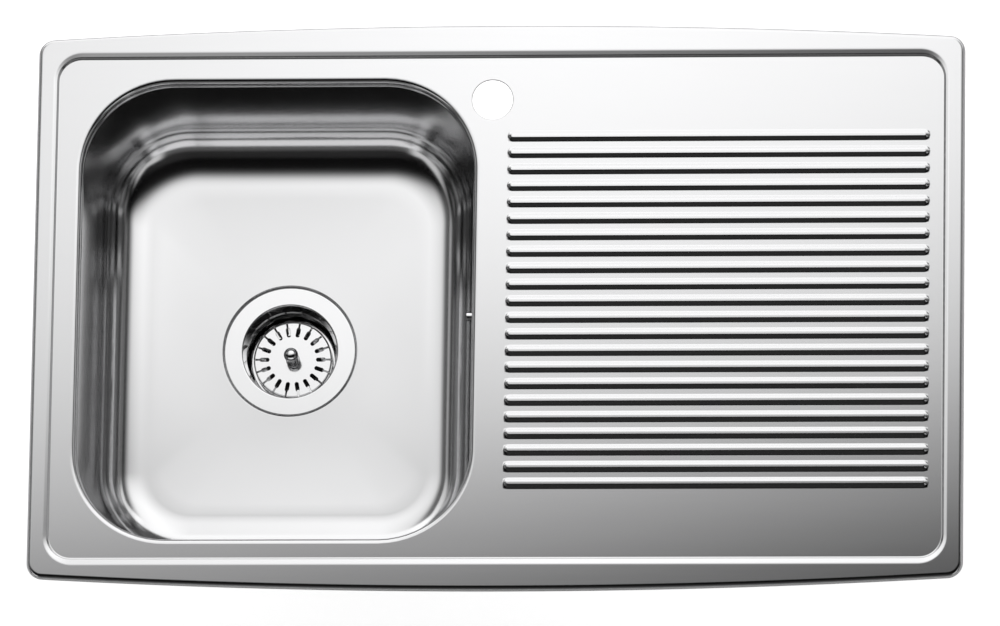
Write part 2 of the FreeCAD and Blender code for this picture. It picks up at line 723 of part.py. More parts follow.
# ---------------------------------------------------------------- assembly
def nodes():
    """Every sub-part by the name of its file."""
    parts = {
        "deck_pressing": deck_pressing(),
        "bowl": bowl(),
        "rim_gasket": rim_gasket(),
        "drainer_pad": drainer_pad(),
        "waste_cup": waste_cup(),
        "flange_seal": flange_seal(),
        "body_seal": body_seal(),
        "waste_body": waste_body(),
        "clamp_screw": clamp_screw(),
        "plug_hub": plug_hub(),
        "plug_seal": plug_seal(),
        "strainer_dish": strainer_dish(),
        "strainer_stem": strainer_stem(),
        "strainer_knob": strainer_knob(),
        "overflow_screw": overflow_screw(),
        "overflow_gasket": overflow_gasket(),
        "overflow_housing": overflow_housing(),
        "overflow_pipe": overflow_pipe(),
        "overflow_nut_upper": at_housing(coupling_nut()),
        "overflow_nut_lower": at_inlet(coupling_nut()),
        "overflow_seal_upper": at_housing(coupling_washer()),
        "overflow_seal_lower": at_inlet(coupling_washer()),
    }
    parts.update(bowl_pads())
    places = clip_places()
    parts["clip_brackets"] = Part.makeCompound([placed_clip(clip_bracket(), place) for place in places])
    for number, place in enumerate(places, 1):
        parts["clip_screw_%d" % number] = placed_clip(clip_screw(), place)
        parts["clip_claw_%d" % number] = placed_clip(clip_claw(), place)
    return parts


def main():
    os.makedirs("parts", exist_ok=True)
    for name, shape in nodes().items():
        solids = shape.Solids
        whole = solids[0] if len(solids) == 1 else Part.makeCompound(solids)
        whole.exportStep("parts/%s.step" % name)
        print("%-22s solids %d  valid %s  volume %.1f" % (name, len(solids), shape.isValid(), shape.Volume))


main()
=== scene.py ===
"""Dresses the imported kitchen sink: drawn stainless pieces, basket waste, pipe and threads, on a pale floor.

Metres, in the frame's own axes: +Z up, the worktop's surface at z = 0, +X from the bowl to the drainer.
Levels and places come from the frame's nodes. The sizes below are only those that the frame's boxes
don't give. Pieces are grids of points worked out by formula and joined along shared edges.
"""

import json
import math

import bmesh
import bpy
import numpy as np
from bpy.props import FloatProperty, FloatVectorProperty, IntProperty, PointerProperty
from mathutils import Matrix, Vector


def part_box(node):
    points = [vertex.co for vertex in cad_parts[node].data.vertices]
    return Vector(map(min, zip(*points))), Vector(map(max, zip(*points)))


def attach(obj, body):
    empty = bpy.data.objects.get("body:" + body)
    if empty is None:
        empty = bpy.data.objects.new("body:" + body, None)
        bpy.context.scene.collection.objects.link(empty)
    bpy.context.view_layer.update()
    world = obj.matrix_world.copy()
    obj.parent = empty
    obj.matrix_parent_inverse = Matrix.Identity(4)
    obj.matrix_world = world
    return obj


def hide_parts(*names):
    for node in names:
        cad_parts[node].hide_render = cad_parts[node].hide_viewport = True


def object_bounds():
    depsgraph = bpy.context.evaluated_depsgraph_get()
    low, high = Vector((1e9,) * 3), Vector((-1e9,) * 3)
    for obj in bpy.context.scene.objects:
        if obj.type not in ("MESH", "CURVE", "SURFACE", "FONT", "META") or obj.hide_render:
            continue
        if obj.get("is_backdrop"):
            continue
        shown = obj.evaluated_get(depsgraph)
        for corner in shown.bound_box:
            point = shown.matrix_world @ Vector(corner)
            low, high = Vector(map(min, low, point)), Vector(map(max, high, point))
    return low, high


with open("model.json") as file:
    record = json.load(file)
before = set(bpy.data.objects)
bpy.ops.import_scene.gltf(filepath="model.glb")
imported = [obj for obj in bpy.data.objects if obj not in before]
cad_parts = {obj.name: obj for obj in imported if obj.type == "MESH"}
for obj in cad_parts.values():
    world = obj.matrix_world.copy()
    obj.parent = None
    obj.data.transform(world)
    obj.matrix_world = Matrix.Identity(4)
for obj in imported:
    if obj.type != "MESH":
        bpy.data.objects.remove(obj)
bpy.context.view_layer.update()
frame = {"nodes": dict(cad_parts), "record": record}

bl_info = {
    "name": "Kitchen sink with drainer",
    "version": (1, 0, 0),
    "blender": (4, 5, 0),
    "location": "View3D > Sidebar > Sink",
    "description": "Builds the visual pieces, materials and stage of an inset sink",
    "category": "Object",
}

MM = 0.001
QUARTER = 0.5 * math.pi
EDGE = 0.3 * MM     # width of the narrow ring that keeps the shading level up to an open edge
TINY = 1e-9         # slack when grid lines are compared
DIGITS = 9          # decimals at which grid lines count as one
POLE = 1e-6         # radius at which a revolved surface closes on its axis
CLOSED = 1e-4       # share of its radius at which a screw's head closes on its axis
WELD = 2e-6         # points nearer than this become one
SLIVER = 1e-7       # edges shorter than this are dissolved

# spacing of grid lines: along the ribs, over a rib's bends, on the plain deck, at its left, round the
# bowl's sides, at the tap hole and between it and the ribs
RIB_STEP, BEND_STEP, DECK_STEP, LEFT_STEP = 24 * MM, 0.35 * MM, 10 * MM, 9 * MM
SIDE_STEP, TAP_STEP, GAP_STEP = 12 * MM, 3 * MM, 3.5 * MM
# spacing of the bowl wall's rows: above the slots, beside them and below them
WALL_STEP_ABOVE, WALL_STEP_SLOTS, WALL_STEP_BELOW = 5 * MM, 2.4 * MM, 8 * MM
FLOOR_ROWS = 9      # rows from the floor's bend to the seat
LATE = 6            # power that keeps a change of the bowl's wall close to the floor
# points round the knob, the pipe and a thread
KNOB_AROUND, PIPE_AROUND, THREAD_AROUND = 48, 40, 16


# ---------------------------------------------------------------- sizes
def length(name, description, millimetres):
    """A length property whose default is given in millimetres."""
    return FloatProperty(name=name, description=description, default=millimetres * MM,
                         unit="LENGTH", subtype="DISTANCE", precision=5)


def count(name, description, default):
    """A whole-number property."""
    return IntProperty(name=name, description=description, default=default, min=1)


class PressingSizes(bpy.types.PropertyGroup):
    """Top pressing: rim, recess, collar, tap hole and ribs."""
    sheet: length("Sheet", "Thickness of the stainless sheet", 0.8)
    edge_bow: length("Edge bow", "How far the long edges bow out", 11.7)
    outline_corner: length("Outline corner", "Radius of the rim's corners", 14.0)
    lip_radius: length("Lip radius", "Bend of the rolled outer lip", 4.0)
    end_width: length("End width", "Rim's width at the short ends", 14.6)
    long_width: length("Long width", "Rim's width at the middle of the long edges", 25.3)
    recess_corner: length("Recess corner", "Radius of the sunk field's corners", 23.0)
    recess_drop: length("Recess drop", "Rim top down to the deck", 3.0)
    step_out: length("Step out", "Recess outline out to the step's upper edge at the ends", 0.6)
    step_out_long: length("Step out long", "The same along the long sides", 2.2)
    slope_foot: length("Slope foot", "Recess outline in to the end of the gentle slope", 2.1)
    step_foot: length("Step foot", "Recess outline in to the step's foot", 3.6)
    slope_drop: length("Slope drop", "Fall over the gently sloping part", 1.1)
    step_bend: length("Step bend", "Bends at the foot and middle of the recess step", 1.2)
    step_round: length("Step round", "Bend at the step's upper edge", 3.0)
    collar_bend: length("Collar bend", "Bend from the deck down into the bowl", 4.8)
    tap_radius: length("Tap hole radius", "Radius of the tap hole", 17.5)
    tap_from_bowl: length("Tap from bowl", "Bowl's inside to the tap hole's axis", 15.4)
    tap_from_back: length("Tap from back", "Step's upper edge to the tap hole's axis", 41.0)
    tap_edge: length("Tap hole edge", "How far the punched edge is drawn down", 0.25)
    tap_cell: length("Tap cell", "Half width of the grid cell round the tap hole", 19.0)
    rib_count: count("Ribs", "Rows of drainer ribs", 22)
    rib_pitch: length("Rib pitch", "Row to row", 14.61)
    rib_half: length("Rib half width", "Half width of a rib at its foot", 4.7)
    rib_crest: length("Rib crest", "Half width of a rib's level crest", 1.4)
    rib_bend: length("Rib bend", "Bends at a rib's crest and foot", 1.3)
    rib_height: length("Rib height", "Crest above the deck", 2.2)
    rib_from_bowl: length("Rib from bowl", "Bowl's inside to the ribs' ends", 28.8)
    rib_from_right: length("Rib from right", "Step's upper edge to the ribs' right ends", 15.4)
    rib_from_back: length("Rib from back", "Step's upper edge to the first rib", 73.6)
    field_margin: length("Field margin", "Recess outline to the straight grid inside it", 13.0)
    split_margin: length("Split margin", "Collar's bend to the line between bowl and drainer", 5.2)
    rib_margin: length("Rib margin", "Last rib's foot to the edge of the ribs' grid", 2.2)


class BowlSizes(bpy.types.PropertyGroup):
    """Drawn bowl with its seat and overflow slots."""
    corner: length("Mouth corner", "Radius of the mouth's corners", 78.0)
    floor_corner: length("Floor corner", "Radius of the wall's corners at the floor's level", 75.0)
    draft: length("Draft", "How far each wall leans in by the floor", 12.0)
    drop: length("Drop", "Rim top down to the floor", 150.0)
    floor_bend: length("Floor bend", "Bend between wall and floor", 40.0)
    end_lean: length("End lean", "How much further the front and back walls come in at the floor", 5.5)
    floor_fall: length("Floor fall", "Rise of the floor from the seat to the bend", 3.2)
    seat_gap: length("Seat gap", "Flange's edge to the wall of its seat", 0.8)
    seat_drop: length("Seat drop", "Floor down to the flange's seat", 4.0)
    seat_width: length("Seat width", "Flange's edge in to the hole through the bowl", 13.0)
    seat_bend: length("Seat bend", "Bends round the seat", 0.8)
    slot_pitch: length("Slot pitch", "Overflow slot to slot", 8.0)
    slot_width: length("Slot width", "Width of a slot", 5.0)
    slot_height: length("Slot height", "Height of a slot", 14.0)
    slot_side: count("Slots a side", "Slots on each side of the screw", 3)
    slot_down: length("Slot level", "Rim top down to the slots' middle", 42.0)
    slot_margin: length("Slot margin", "Slot's end to the edge of its cell in the wall's grid", 2.5)
    seat_margin: length("Seat margin", "Seat's wall out to where the floor's rows end", 6.0)


class WasteSizes(bpy.types.PropertyGroup):
    """Flange, cup, basket and knob of the waste."""
    flange_sheet: length("Flange sheet", "Thickness of the pressed cup", 0.8)
    throat: length("Throat", "Radius of the flange's throat", 41.4)
    throat_bend: length("Throat bend", "Bend from the flange into the throat", 1.4)
    flange_bend: length("Flange bend", "Bend of the flange's outer edge", 1.2)
    cup_radius: length("Cup radius", "Radius of the cup under the shoulder", 39.0)
    shoulder: length("Shoulder", "Flange top down to the shoulder", 13.0)
    cup_bend: length("Cup bend", "Bends of the shoulder and the cup's foot", 3.0)
    drain_radius: length("Drain hole", "Radius of a drain hole", 5.0)
    drain_circle: length("Drain circle", "Radius of the circle of drain holes", 15.0)
    drain_inner: length("Drain inner", "Radius where the drain holes' sectors start", 6.0)
    drain_outer: length("Drain outer", "Radius where they end", 24.0)
    drain_count: count("Drain holes", "Number of drain holes", 6)
    dish_sheet: length("Dish sheet", "Thickness of the strainer dish", 0.7)
    dish_bend: length("Dish bend", "Bend at the dish's rim", 1.6)
    slot_count: count("Dish slots", "Number of slots and tabs", 18)
    slot_width: length("Dish slot width", "Width of a radial slot", 3.5)
    slot_inner: length("Slot start", "Radius where a slot starts", 20.4)
    slot_outer: length("Slot end", "Radius where a slot narrows to the slit", 29.0)
    slit_width: length("Slit width", "Gap between two tabs", 1.3)
    stem_radius: length("Stem radius", "Radius of the stem in the dish", 3.5)
    knob_groove: length("Knob groove", "Depth of the groove turned in the knob", 0.7)
    groove_share: FloatProperty(name="Groove width", description="Share of the knob's radius", default=0.09)
    knob_fullness: FloatProperty(name="Knob fullness", description="Power of the cosine in the knob's profile",
                                 default=0.85)


class FittingSizes(bpy.types.PropertyGroup):
    """Overflow pipe and clip screws."""
    pipe_wall: length("Pipe wall", "Wall of the overflow pipe", 1.5)
    pipe_bend: length("Pipe bend", "Bend of the pipe's axis", 34.0)
    thread_pitch: length("Thread pitch", "Pitch of the clip screws' thread", 0.8)
    thread_depth: length("Thread depth", "Depth of the clip screws' thread", 0.4)
    thread_radius: length("Thread radius", "Outer radius of the thread", 2.5)
    head_height: length("Head height", "Height of the screws' hexagonal head", 3.5)
    head_bevel: length("Head bevel", "Height of the bevel at the head's end", 0.4)


class StageSizes(bpy.types.PropertyGroup):
    """Camera, floor and light."""
    distance: FloatProperty(name="Distance", description="Camera to its target", default=10.0, unit="LENGTH")
    tilt: FloatProperty(name="Tilt", description="Camera's lean to the front", default=math.radians(14.32),
                        subtype="ANGLE")
    side: FloatProperty(name="Side", description="Camera's lean to the right", default=math.radians(4.1),
                        subtype="ANGLE")
    roll: FloatProperty(name="Roll", description="Camera's turn about its own axis", default=math.radians(0.86),
                        subtype="ANGLE")
    target: FloatVectorProperty(name="Target", description="Point in the middle of the picture",
                                default=(0.0023, -0.0051, 0.0), subtype="XYZ", unit="LENGTH")
    lens: FloatProperty(name="Lens", description="Focal length in millimetres", default=420.2)
    sensor: FloatProperty(name="Sensor", description="Width of the film in millimetres", default=36.0)
    floor_drop: length("Floor drop", "Gap under the lowest piece", 0.5)
    floor_shade: FloatProperty(name="Floor shade", description="Grey of the floor's paper", default=0.9)
    floor_glow: FloatProperty(name="Floor glow", description="Plain light of the floor", default=0.82)
    floor_gloss: FloatProperty(name="Floor gloss", description="Share of that light that reflections see",
                               default=0.15)
    light_height: FloatProperty(name="Light height", description="Soft light above the worktop", default=1.0,
                                unit="LENGTH")
    light_slant: FloatProperty(name="Light slant", description="How far the light's edge leans to the right",
                               default=0.17)
    floor_size: FloatProperty(name="Floor", description="Side of the floor", default=12.0, unit="LENGTH")


def sizes(group):
    """The scene's copy of one property group."""
    return getattr(bpy.context.scene, "sink_" + group)


# ---------------------------------------------------------------- plan outlines
class Outline:
    """A rounded rectangle whose long sides may bow: corner arcs stay tangent to the sides.

    A place on it is (sx, sy, a): the signs of its quadrant, and a from 0 to 3. With a quadrant's corner
    centre (cx, cy), 0..1 runs up the short side, y = a cy; 1..2 goes round the corner by
    phi = (a - 1)(pi/2 - lean); 2..3 goes along the long side to x = 0, on a circle of radius
    R = (hx^2 + bow^2) / (2 bow) about (0, hy - R) when it bows, with sin(lean) = cx / (R - corner).
    """

    def __init__(self, half_x, half_y, corner, bow=0.0, centre=(0.0, 0.0)):
        self.half = (half_x, half_y)
        self.corner = corner
        self.centre = centre
        self.cx, self.cy, self.lean, self.big = half_x - corner, half_y - corner, 0.0, 0.0
        if bow:
            self.big = (half_x ** 2 + bow ** 2) / (2 * bow)
            self.lean = math.asin(self.cx / (self.big - corner))
            self.cy = half_y - self.big + (self.big - corner) * math.cos(self.lean)

    def places(self, points):
        """The places that plan points outside or inside the outline belong to, going out from the corners."""
        dx, dy = points[:, 0] - self.centre[0], points[:, 1] - self.centre[1]
        ux, uy = np.abs(dx) - self.cx, np.abs(dy) - self.cy
        turn = 1 + np.arctan2(uy, ux) / QUARTER
        side = np.abs(dy) / self.cy
        along = 3 - np.abs(dx) / self.cx
        a = np.where((ux > 0) & (uy > 0), turn, np.where(uy <= 0, side, along))
        return np.stack([np.where(dx < 0, -1.0, 1.0), np.where(dy < 0, -1.0, 1.0), a], 1)

    def at(self, places, grow, z):
        """Points of the outline moved out by grow, at height z."""
        sx, sy, a = places.T
        phi = (a - 1) * (QUARTER - self.lean)
        reach = self.corner + grow
        x = np.where(a < 1, self.half[0] + grow, self.cx + reach * np.cos(phi))
        y = np.where(a < 1, a * self.cy, self.cy + reach * np.sin(phi))
        if self.lean:
            phi = QUARTER - self.lean * (3 - a)
            x = np.where(a > 2, (self.big + grow) * np.cos(phi), x)
            y = np.where(a > 2, self.half[1] - self.big + (self.big + grow) * np.sin(phi), y)
        else:
            x = np.where(a > 2, (3 - a) * self.cx, x)
            y = np.where(a > 2, self.half[1] + grow, y)
        return np.stack([self.centre[0] + sx * x, self.centre[1] + sy * y, np.full(len(a), z)], 1)


def middle_of(node):
    """Plan centre of a node's box."""
    low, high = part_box(node)
    return np.array([0.5 * (low.x + high.x), 0.5 * (low.y + high.y)])


def radius_of(node):
    """Radius of a round piece, half of its box along X."""
    low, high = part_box(node)
    return 0.5 * (high.x - low.x)


def rim_outline(s):
    """The rim's outer edge, from the frame's box."""
    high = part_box("deck_pressing")[1]
    return Outline(high.x, high.y, s.outline_corner, s.edge_bow)


def recess_outline(s):
    """Upper edge of the step round the sunk field."""
    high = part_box("deck_pressing")[1]
    return Outline(high.x - s.end_width, high.y - s.long_width, s.recess_corner)


def bowl_outline(corner, sheet):
    """Inside of the bowl's mouth, from the frame's box of the bowl's top edge."""
    low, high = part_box("bowl")
    lean = sheet * math.hypot(1, sizes("bowl").draft / (high.z - low.z))
    return Outline(0.5 * (high.x - low.x) - lean, 0.5 * (high.y - low.y) - lean, corner,
                   centre=middle_of("bowl"))


# ---------------------------------------------------------------- profiles and grids
def rounded(corners, radii, steps=6, hold=0.25 * MM):
    """Profile through corners with tangent arcs: for a turn t the arc starts r tan(t / 2) before the corner.

    Points hold away from each arc's ends keep the flats between bends level in the shading.
    """
    corners = np.asarray(corners, float)
    made = [corners[:1]]
    for before, corner, after, radius in zip(corners, corners[1:], corners[2:], radii):
        into, out = corner - before, after - corner
        into, out = into / np.linalg.norm(into), out / np.linalg.norm(out)
        turn = math.atan2(into[0] * out[1] - into[1] * out[0], into @ out)
        start = corner - into * radius * math.tan(0.5 * abs(turn))
        side = np.array([-into[1], into[0]]) * math.copysign(1, turn)
        t = np.linspace(0, turn, steps + 1)[:, None]
        arc = start + side * radius * (1 - np.cos(t)) + into * radius * np.abs(np.sin(t))
        end = arc[-1] + out * hold
        made += [start[None] - into * hold, arc, end[None]]
    return np.vstack(made + [corners[-1:]])


def between(start, end, step):
    """Evenly spaced values from start to end, about step apart."""
    return np.linspace(start, end, max(1, int(round(abs(end - start) / step))) + 1)


def sorted_lines(*runs):
    """Grid lines of several runs in order, each once."""
    return np.unique(np.round(np.concatenate(runs), DIGITS))


def band(rows, closed=True):
    """Points and quads between rows of points: (rows, columns, 3), the columns a loop when closed."""
    rows = np.asarray(rows, float)
    down, across = rows.shape[:2]
    index = np.arange(down * across).reshape(down, across)
    if closed:
        index = np.concatenate([index, index[:, :1]], 1)
    quads = np.stack([index[:-1, :-1], index[:-1, 1:], index[1:, 1:], index[1:, :-1]], -1)
    return rows.reshape(-1, 3), quads.reshape(-1, 4)


def rings(outer, inner, steps):
    """Rows of points going evenly from one loop to another: (1 - t) outer + t inner."""
    t = np.linspace(0, 1, steps + 1)[:, None, None]
    return (1 - t) * outer + t * inner


def joined(patches):
    """Stacks (points, quads) patches into one."""
    points, quads, start = [], [], 0
    for own, faces in patches:
        points.append(own)
        quads.append(faces + start)
        start += len(own)
    return np.vstack(points), np.vstack(quads)


def mesh_object(name, points, quads, body, node, slot):
    """A smooth mesh from welded points, riding on a body and standing for one of the frame's nodes."""
    mesh = bpy.data.meshes.new(name)
    mesh.vertices.add(len(points))
    mesh.vertices.foreach_set("co", points.astype(np.float32).ravel())
    mesh.loops.add(quads.size)
    mesh.loops.foreach_set("vertex_index", quads.astype(np.int32).ravel())
    mesh.polygons.add(len(quads))
    mesh.polygons.foreach_set("loop_start", np.arange(0, quads.size, 4, dtype=np.int32))
    mesh.update(calc_edges=True)
    work = bmesh.new()
    work.from_mesh(mesh)
    bmesh.ops.remove_doubles(work, verts=work.verts, dist=WELD)
    bmesh.ops.dissolve_degenerate(work, edges=work.edges, dist=SLIVER)
    work.to_mesh(mesh)
    work.free()
    mesh.polygons.foreach_set("use_smooth", np.ones(len(mesh.polygons), bool))
    piece = bpy.data.objects.new(name, mesh)
    bpy.context.scene.collection.objects.link(piece)
    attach(piece, body)
    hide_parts(node)
    return piece


def faced(piece, closed):
    """Turns a closed piece's faces outwards, or a skin's so that most of their area looks up."""
    work = bmesh.new()
    work.from_mesh(piece.data)
    bmesh.ops.recalc_face_normals(work, faces=work.faces)
    outward = work.calc_volume(signed=True) if closed else sum(
        face.normal.z * face.calc_area() for face in work.faces)
    if outward < 0:
        bmesh.ops.reverse_faces(work, faces=work.faces)
    work.to_mesh(piece.data)
    work.free()


def made_piece(name, patches, body, node, slot, sheet=0.0):
    """Joins patches into a painted piece; a skin gets its sheet, away from the side that its faces look to."""
    piece = mesh_object(name, *joined(patches), body, node, slot)
    faced(piece, closed=not sheet)
    painted(piece, slot)
    if sheet:
        solid = piece.modifiers.new("sheet", "SOLIDIFY")
        solid.thickness = sheet
        solid.offset = -1.0
    return piece


def turns(steps):
    """Angles of even steps round a circle."""
    return np.arange(steps) * 2 * math.pi / steps


def about(axis, r, angle, z):
    """Points at radii r and angles round an upright axis, at heights z."""
    return np.stack(np.broadcast_arrays(axis[0] + r * np.cos(angle), axis[1] + r * np.sin(angle), z), -1)


def revolve(profile, axis, around):
    """Rows of points of an (r, z) profile turned about an upright axis."""
    r, z = np.asarray(profile, float).T[..., None]
    return about(axis, r, turns(around), z)


# ---------------------------------------------------------------- top pressing
class Field:
    """The sunk field's grid lines: one set of x and y values that every patch in it shares."""

    def __init__(self, s, recess, bowl):
        self.x0, self.x1 = -recess.half[0] + s.field_margin, recess.half[0] - s.field_margin
        self.y0, self.y1 = -recess.half[1] + s.field_margin, recess.half[1] - s.field_margin
        bowl_right = bowl.centre[0] + bowl.half[0]
        self.tap = np.array([bowl_right + s.tap_from_bowl, recess.half[1] - s.tap_from_back])
        self.rib_x0 = bowl_right + s.rib_from_bowl + s.rib_half
        self.rib_x1 = recess.half[0] - s.rib_from_right - s.rib_half
        first = recess.half[1] - s.rib_from_back
        self.rib_y = first - s.rib_pitch * np.arange(s.rib_count)
        self.split = bowl_right + s.collar_bend + s.split_margin
        self.tap_x = self.tap[0] + s.tap_cell * np.array([-1, 1])
        self.tap_y = self.tap[1] + s.tap_cell * np.array([-1, 1])
        self.low = self.rib_y[-1] - s.rib_half - s.rib_margin
        self.corner_lines(recess)
        self.lines(s)

    def corner_lines(self, recess):
        """Grid lines near the field's corners, where the recess outline turns: tan(phi) of even angles."""
        ux, uy = self.x1 - recess.cx, self.y1 - recess.cy
        middle = math.atan2(uy, ux)
        low = np.linspace(0, middle, 6)[:-1]
        high = np.linspace(QUARTER, middle, 6)[:-1]
        self.corner_x = recess.cx + uy / np.tan(high)
        self.corner_y = recess.cy + ux * np.tan(low)

    def lines(self, s):
        """x values from the split to the right side, and y values of the ribs' grid from front to back."""
        (crest, upper, lower, foot), _ = rib_marks(s)
        cap = np.concatenate([[0], between(crest, upper, BEND_STEP), between(lower, foot, BEND_STEP),
                              [0.5 * crest, 0.5 * (upper + lower), foot + 0.2 * MM]])
        straight = between(self.rib_x0, self.rib_x1, RIB_STEP)
        near_tap = between(self.split, self.rib_x0 - cap.max(), GAP_STEP)
        self.x = sorted_lines(near_tap, [self.tap_x[1]], self.rib_x0 - cap, straight, self.rib_x1 + cap,
                              self.corner_x, [self.x1])
        across = np.concatenate([-cap, cap[1:]])
        self.y = sorted_lines([self.low, self.tap_y[0]], (self.rib_y[:, None] + across).ravel())
        self.y_front = sorted_lines([self.y0], -self.corner_y, between(-self.corner_y[0], self.low, DECK_STEP))
        back = (between(self.tap_y[1], self.corner_y[0], DECK_STEP) if self.tap_y[1] < self.corner_y[0]
                else [self.tap_y[1]])
        self.y_back = sorted_lines(back, self.corner_y[self.corner_y > self.tap_y[1]], [self.y1])
        self.x_left = sorted_lines([self.x0], -self.corner_x,
                                   between(-self.corner_x.min(), self.tap_x[0], LEFT_STEP))
        self.y_tap = between(self.tap_y[0], self.tap_y[1], TAP_STEP)
        self.x_gap = between(self.tap_x[0], self.split, TAP_STEP)


def rib_marks(s):
    """Distances from a rib's axis where its bends start and end, and the slope of its flank."""
    slope = math.atan2(s.rib_height, s.rib_half - s.rib_crest)
    reach = s.rib_bend * math.tan(0.5 * slope)
    past = reach * math.cos(slope)
    return [s.rib_crest - reach, s.rib_crest + past, s.rib_half - past, s.rib_half + reach], slope


def rib_rise(s, distance):
    """Height of a rib at a distance from its axis: level crest, bend r, straight flank, bend r.

    Bends: h - r + sqrt(r^2 - (d - a)^2) past the crest's end a, r - sqrt(r^2 - (e - d)^2) up to the foot's end e.
    """
    (crest, upper, lower, foot), slope = rib_marks(s)
    r = s.rib_bend
    top = s.rib_height - r + np.sqrt(np.maximum(r ** 2 - np.maximum(distance - crest, 0) ** 2, 0))
    flank = s.rib_height - (distance - s.rib_crest) * math.tan(slope)
    toe = r - np.sqrt(np.maximum(r ** 2 - np.maximum(foot - distance, 0) ** 2, 0))
    return np.where(distance < upper, top, np.where(distance < lower, flank, toe))


def plain_patch(xs, ys, z):
    """Level grid over lines of x and y, or one whose height is given at each crossing."""
    x, y = np.meshgrid(xs, ys)
    return band(np.stack([x, y, np.broadcast_to(z, x.shape)], -1), closed=False)


def rib_patch(s, field, deck):
    """Grid over the drainer, raised by the distance to the nearest rib's axis."""
    x, y = np.meshgrid(field.x, field.y)
    past = np.maximum(np.maximum(field.rib_x0 - x, x - field.rib_x1), 0)
    row = np.abs(y[..., None] - field.rib_y).min(-1)
    return plain_patch(field.x, field.y, deck + rib_rise(s, np.hypot(past, row)))


def path_of(*pieces):
    """Plan loop from runs of points, each starting where the last one ended."""
    runs = [np.stack(np.broadcast_arrays(x, y), 1)[:-1] for x, y in pieces]
    return np.vstack(runs).astype(float)


def with_z(plan, z):
    """Plan points at one height."""
    return np.column_stack([plan, np.full(len(plan), z)])


def pressing_patches(s):
    """All the patches of the pressing's upper skin, edge to edge."""
    rim, recess = rim_outline(s), recess_outline(s)
    bowl = bowl_outline(sizes("bowl").corner, s.sheet)
    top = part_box("deck_pressing")[1].z
    deck = top - s.recess_drop
    f = Field(s, recess, bowl)
    all_y = np.unique(np.concatenate([f.y_front, f.y, f.y_tap, f.y_back]))
    patches = [rib_patch(s, f, deck),
               plain_patch(f.x, f.y_front, deck),
               plain_patch(f.x[f.x >= f.tap_x[1] - TINY], f.y_tap, deck),
               plain_patch(np.unique(np.concatenate([f.x_gap, f.x])), f.y_back, deck)]
    # ring of the tap hole, from its square cell
    low_edge = np.unique(np.concatenate([f.x_gap, f.x[f.x <= f.tap_x[1] + TINY]]))
    cell = path_of((low_edge, f.tap_y[0]), (f.tap_x[1], f.y_tap), (low_edge[::-1], f.tap_y[1]),
                   (f.tap_x[0], f.y_tap[::-1]))
    turn = np.arctan2(*(cell - f.tap).T[::-1])
    way = np.stack([np.cos(turn), np.sin(turn)], 1)
    outer, inner, hole = [with_z(f.tap + (s.tap_radius + more) * way, deck - drop)
                          for more, drop in ((3 * EDGE, 0.0), (2 * EDGE, 0.0), (0.0, s.tap_edge))]
    patches.append(band(np.concatenate([rings(with_z(cell, deck), outer, 2), [inner, hole]])))
    # ring of the bowl's mouth, then down its collar
    left_y = sorted_lines([f.y0], -f.corner_y, between(-f.corner_y[0], f.corner_y[0], LEFT_STEP), f.corner_y,
                          [f.y1])
    right_y = np.concatenate([f.y_front[:-1], f.y])
    notch = (f.x_gap[::-1], f.tap_y[0])
    up = np.concatenate([f.y_tap[:-1], f.y_back])
    plan = path_of((np.concatenate([f.x_left[:-1], f.x_gap]), f.y0), (f.split, right_y), notch,
                   (f.tap_x[0], up), (f.x_left[::-1], f.y1), (f.x0, left_y[::-1]))
    places = bowl.places(plan)
    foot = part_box("deck_pressing")[0].z
    bend = rounded([(2 * s.collar_bend, deck), (0, deck), (0, foot)], [s.collar_bend])[1:]
    mouth = [bowl.at(places, grow, z) for grow, z in bend]
    patches.append(band(np.concatenate([rings(with_z(plan, deck), mouth[0], 4)[:-1], mouth])))
    # perimeter: recess step, rim and lip, from the field's edge outwards
    front_x = np.unique(np.concatenate([f.x_left, f.x_gap, f.x]))
    edge = path_of((front_x, f.y0), (f.x1, all_y), (front_x[::-1], f.y1), (f.x0, left_y[::-1]))
    places = recess.places(edge)
    corners = [(-3 * s.step_foot, deck), (-s.step_foot, deck), (-s.slope_foot, top - s.slope_drop),
               (s.step_out, top), (3 * s.step_foot, top)]
    step = rounded(corners, [s.step_bend, s.step_bend, s.step_round], steps=4)[1:-1]
    widen = (s.step_out_long - s.step_out) / (s.step_out + s.slope_foot) * np.clip(places[:, 2] - 1, 0, 1)
    rows = [with_z(edge, deck)]
    rows += [recess.at(places, grow + widen * max(0.0, grow + s.slope_foot), z) for grow, z in step]
    lip = rounded([(-2 * s.lip_radius, top), (0, top), (0, 0)], [s.lip_radius], steps=8)[1:]
    rows += [rim.at(places, grow, z) for grow, z in lip]
    patches.append(band(rows))
    return patches


# ---------------------------------------------------------------- bowl
def bowl_places(s, bowl):
    """Places round the bowl, close together where the overflow's slots are, and the slots' columns."""
    middle = middle_of("overflow_screw")[1] - bowl.centre[1]
    cells = s.slot_side + 0.5
    slots = between(middle - cells * s.slot_pitch, middle + cells * s.slot_pitch, s.slot_pitch / 4)
    right = np.concatenate([between(-bowl.cy, slots[0], SIDE_STEP)[:-1], slots[:-1],
                            between(slots[-1], bowl.cy, SIDE_STEP)])
    first = int(np.searchsorted(right, slots[0] - TINY))
    half = np.concatenate([np.linspace(1, 2, 25), np.linspace(2, 3, 9)[1:]])
    quarter = [(1, 1, a) for a in half[1:]] + [(-1, 1, a) for a in half[::-1][1:]]
    left = [(-1, math.copysign(1, y), abs(y) / bowl.cy) for y in between(bowl.cy, -bowl.cy, SIDE_STEP)[1:]]
    front = [(-1, -1, a) for a in half[1:]] + [(1, -1, a) for a in half[::-1][1:-1]]
    places = [(1, math.copysign(1, y), abs(y) / bowl.cy) for y in right] + quarter + left + front
    return np.array(places, float), first


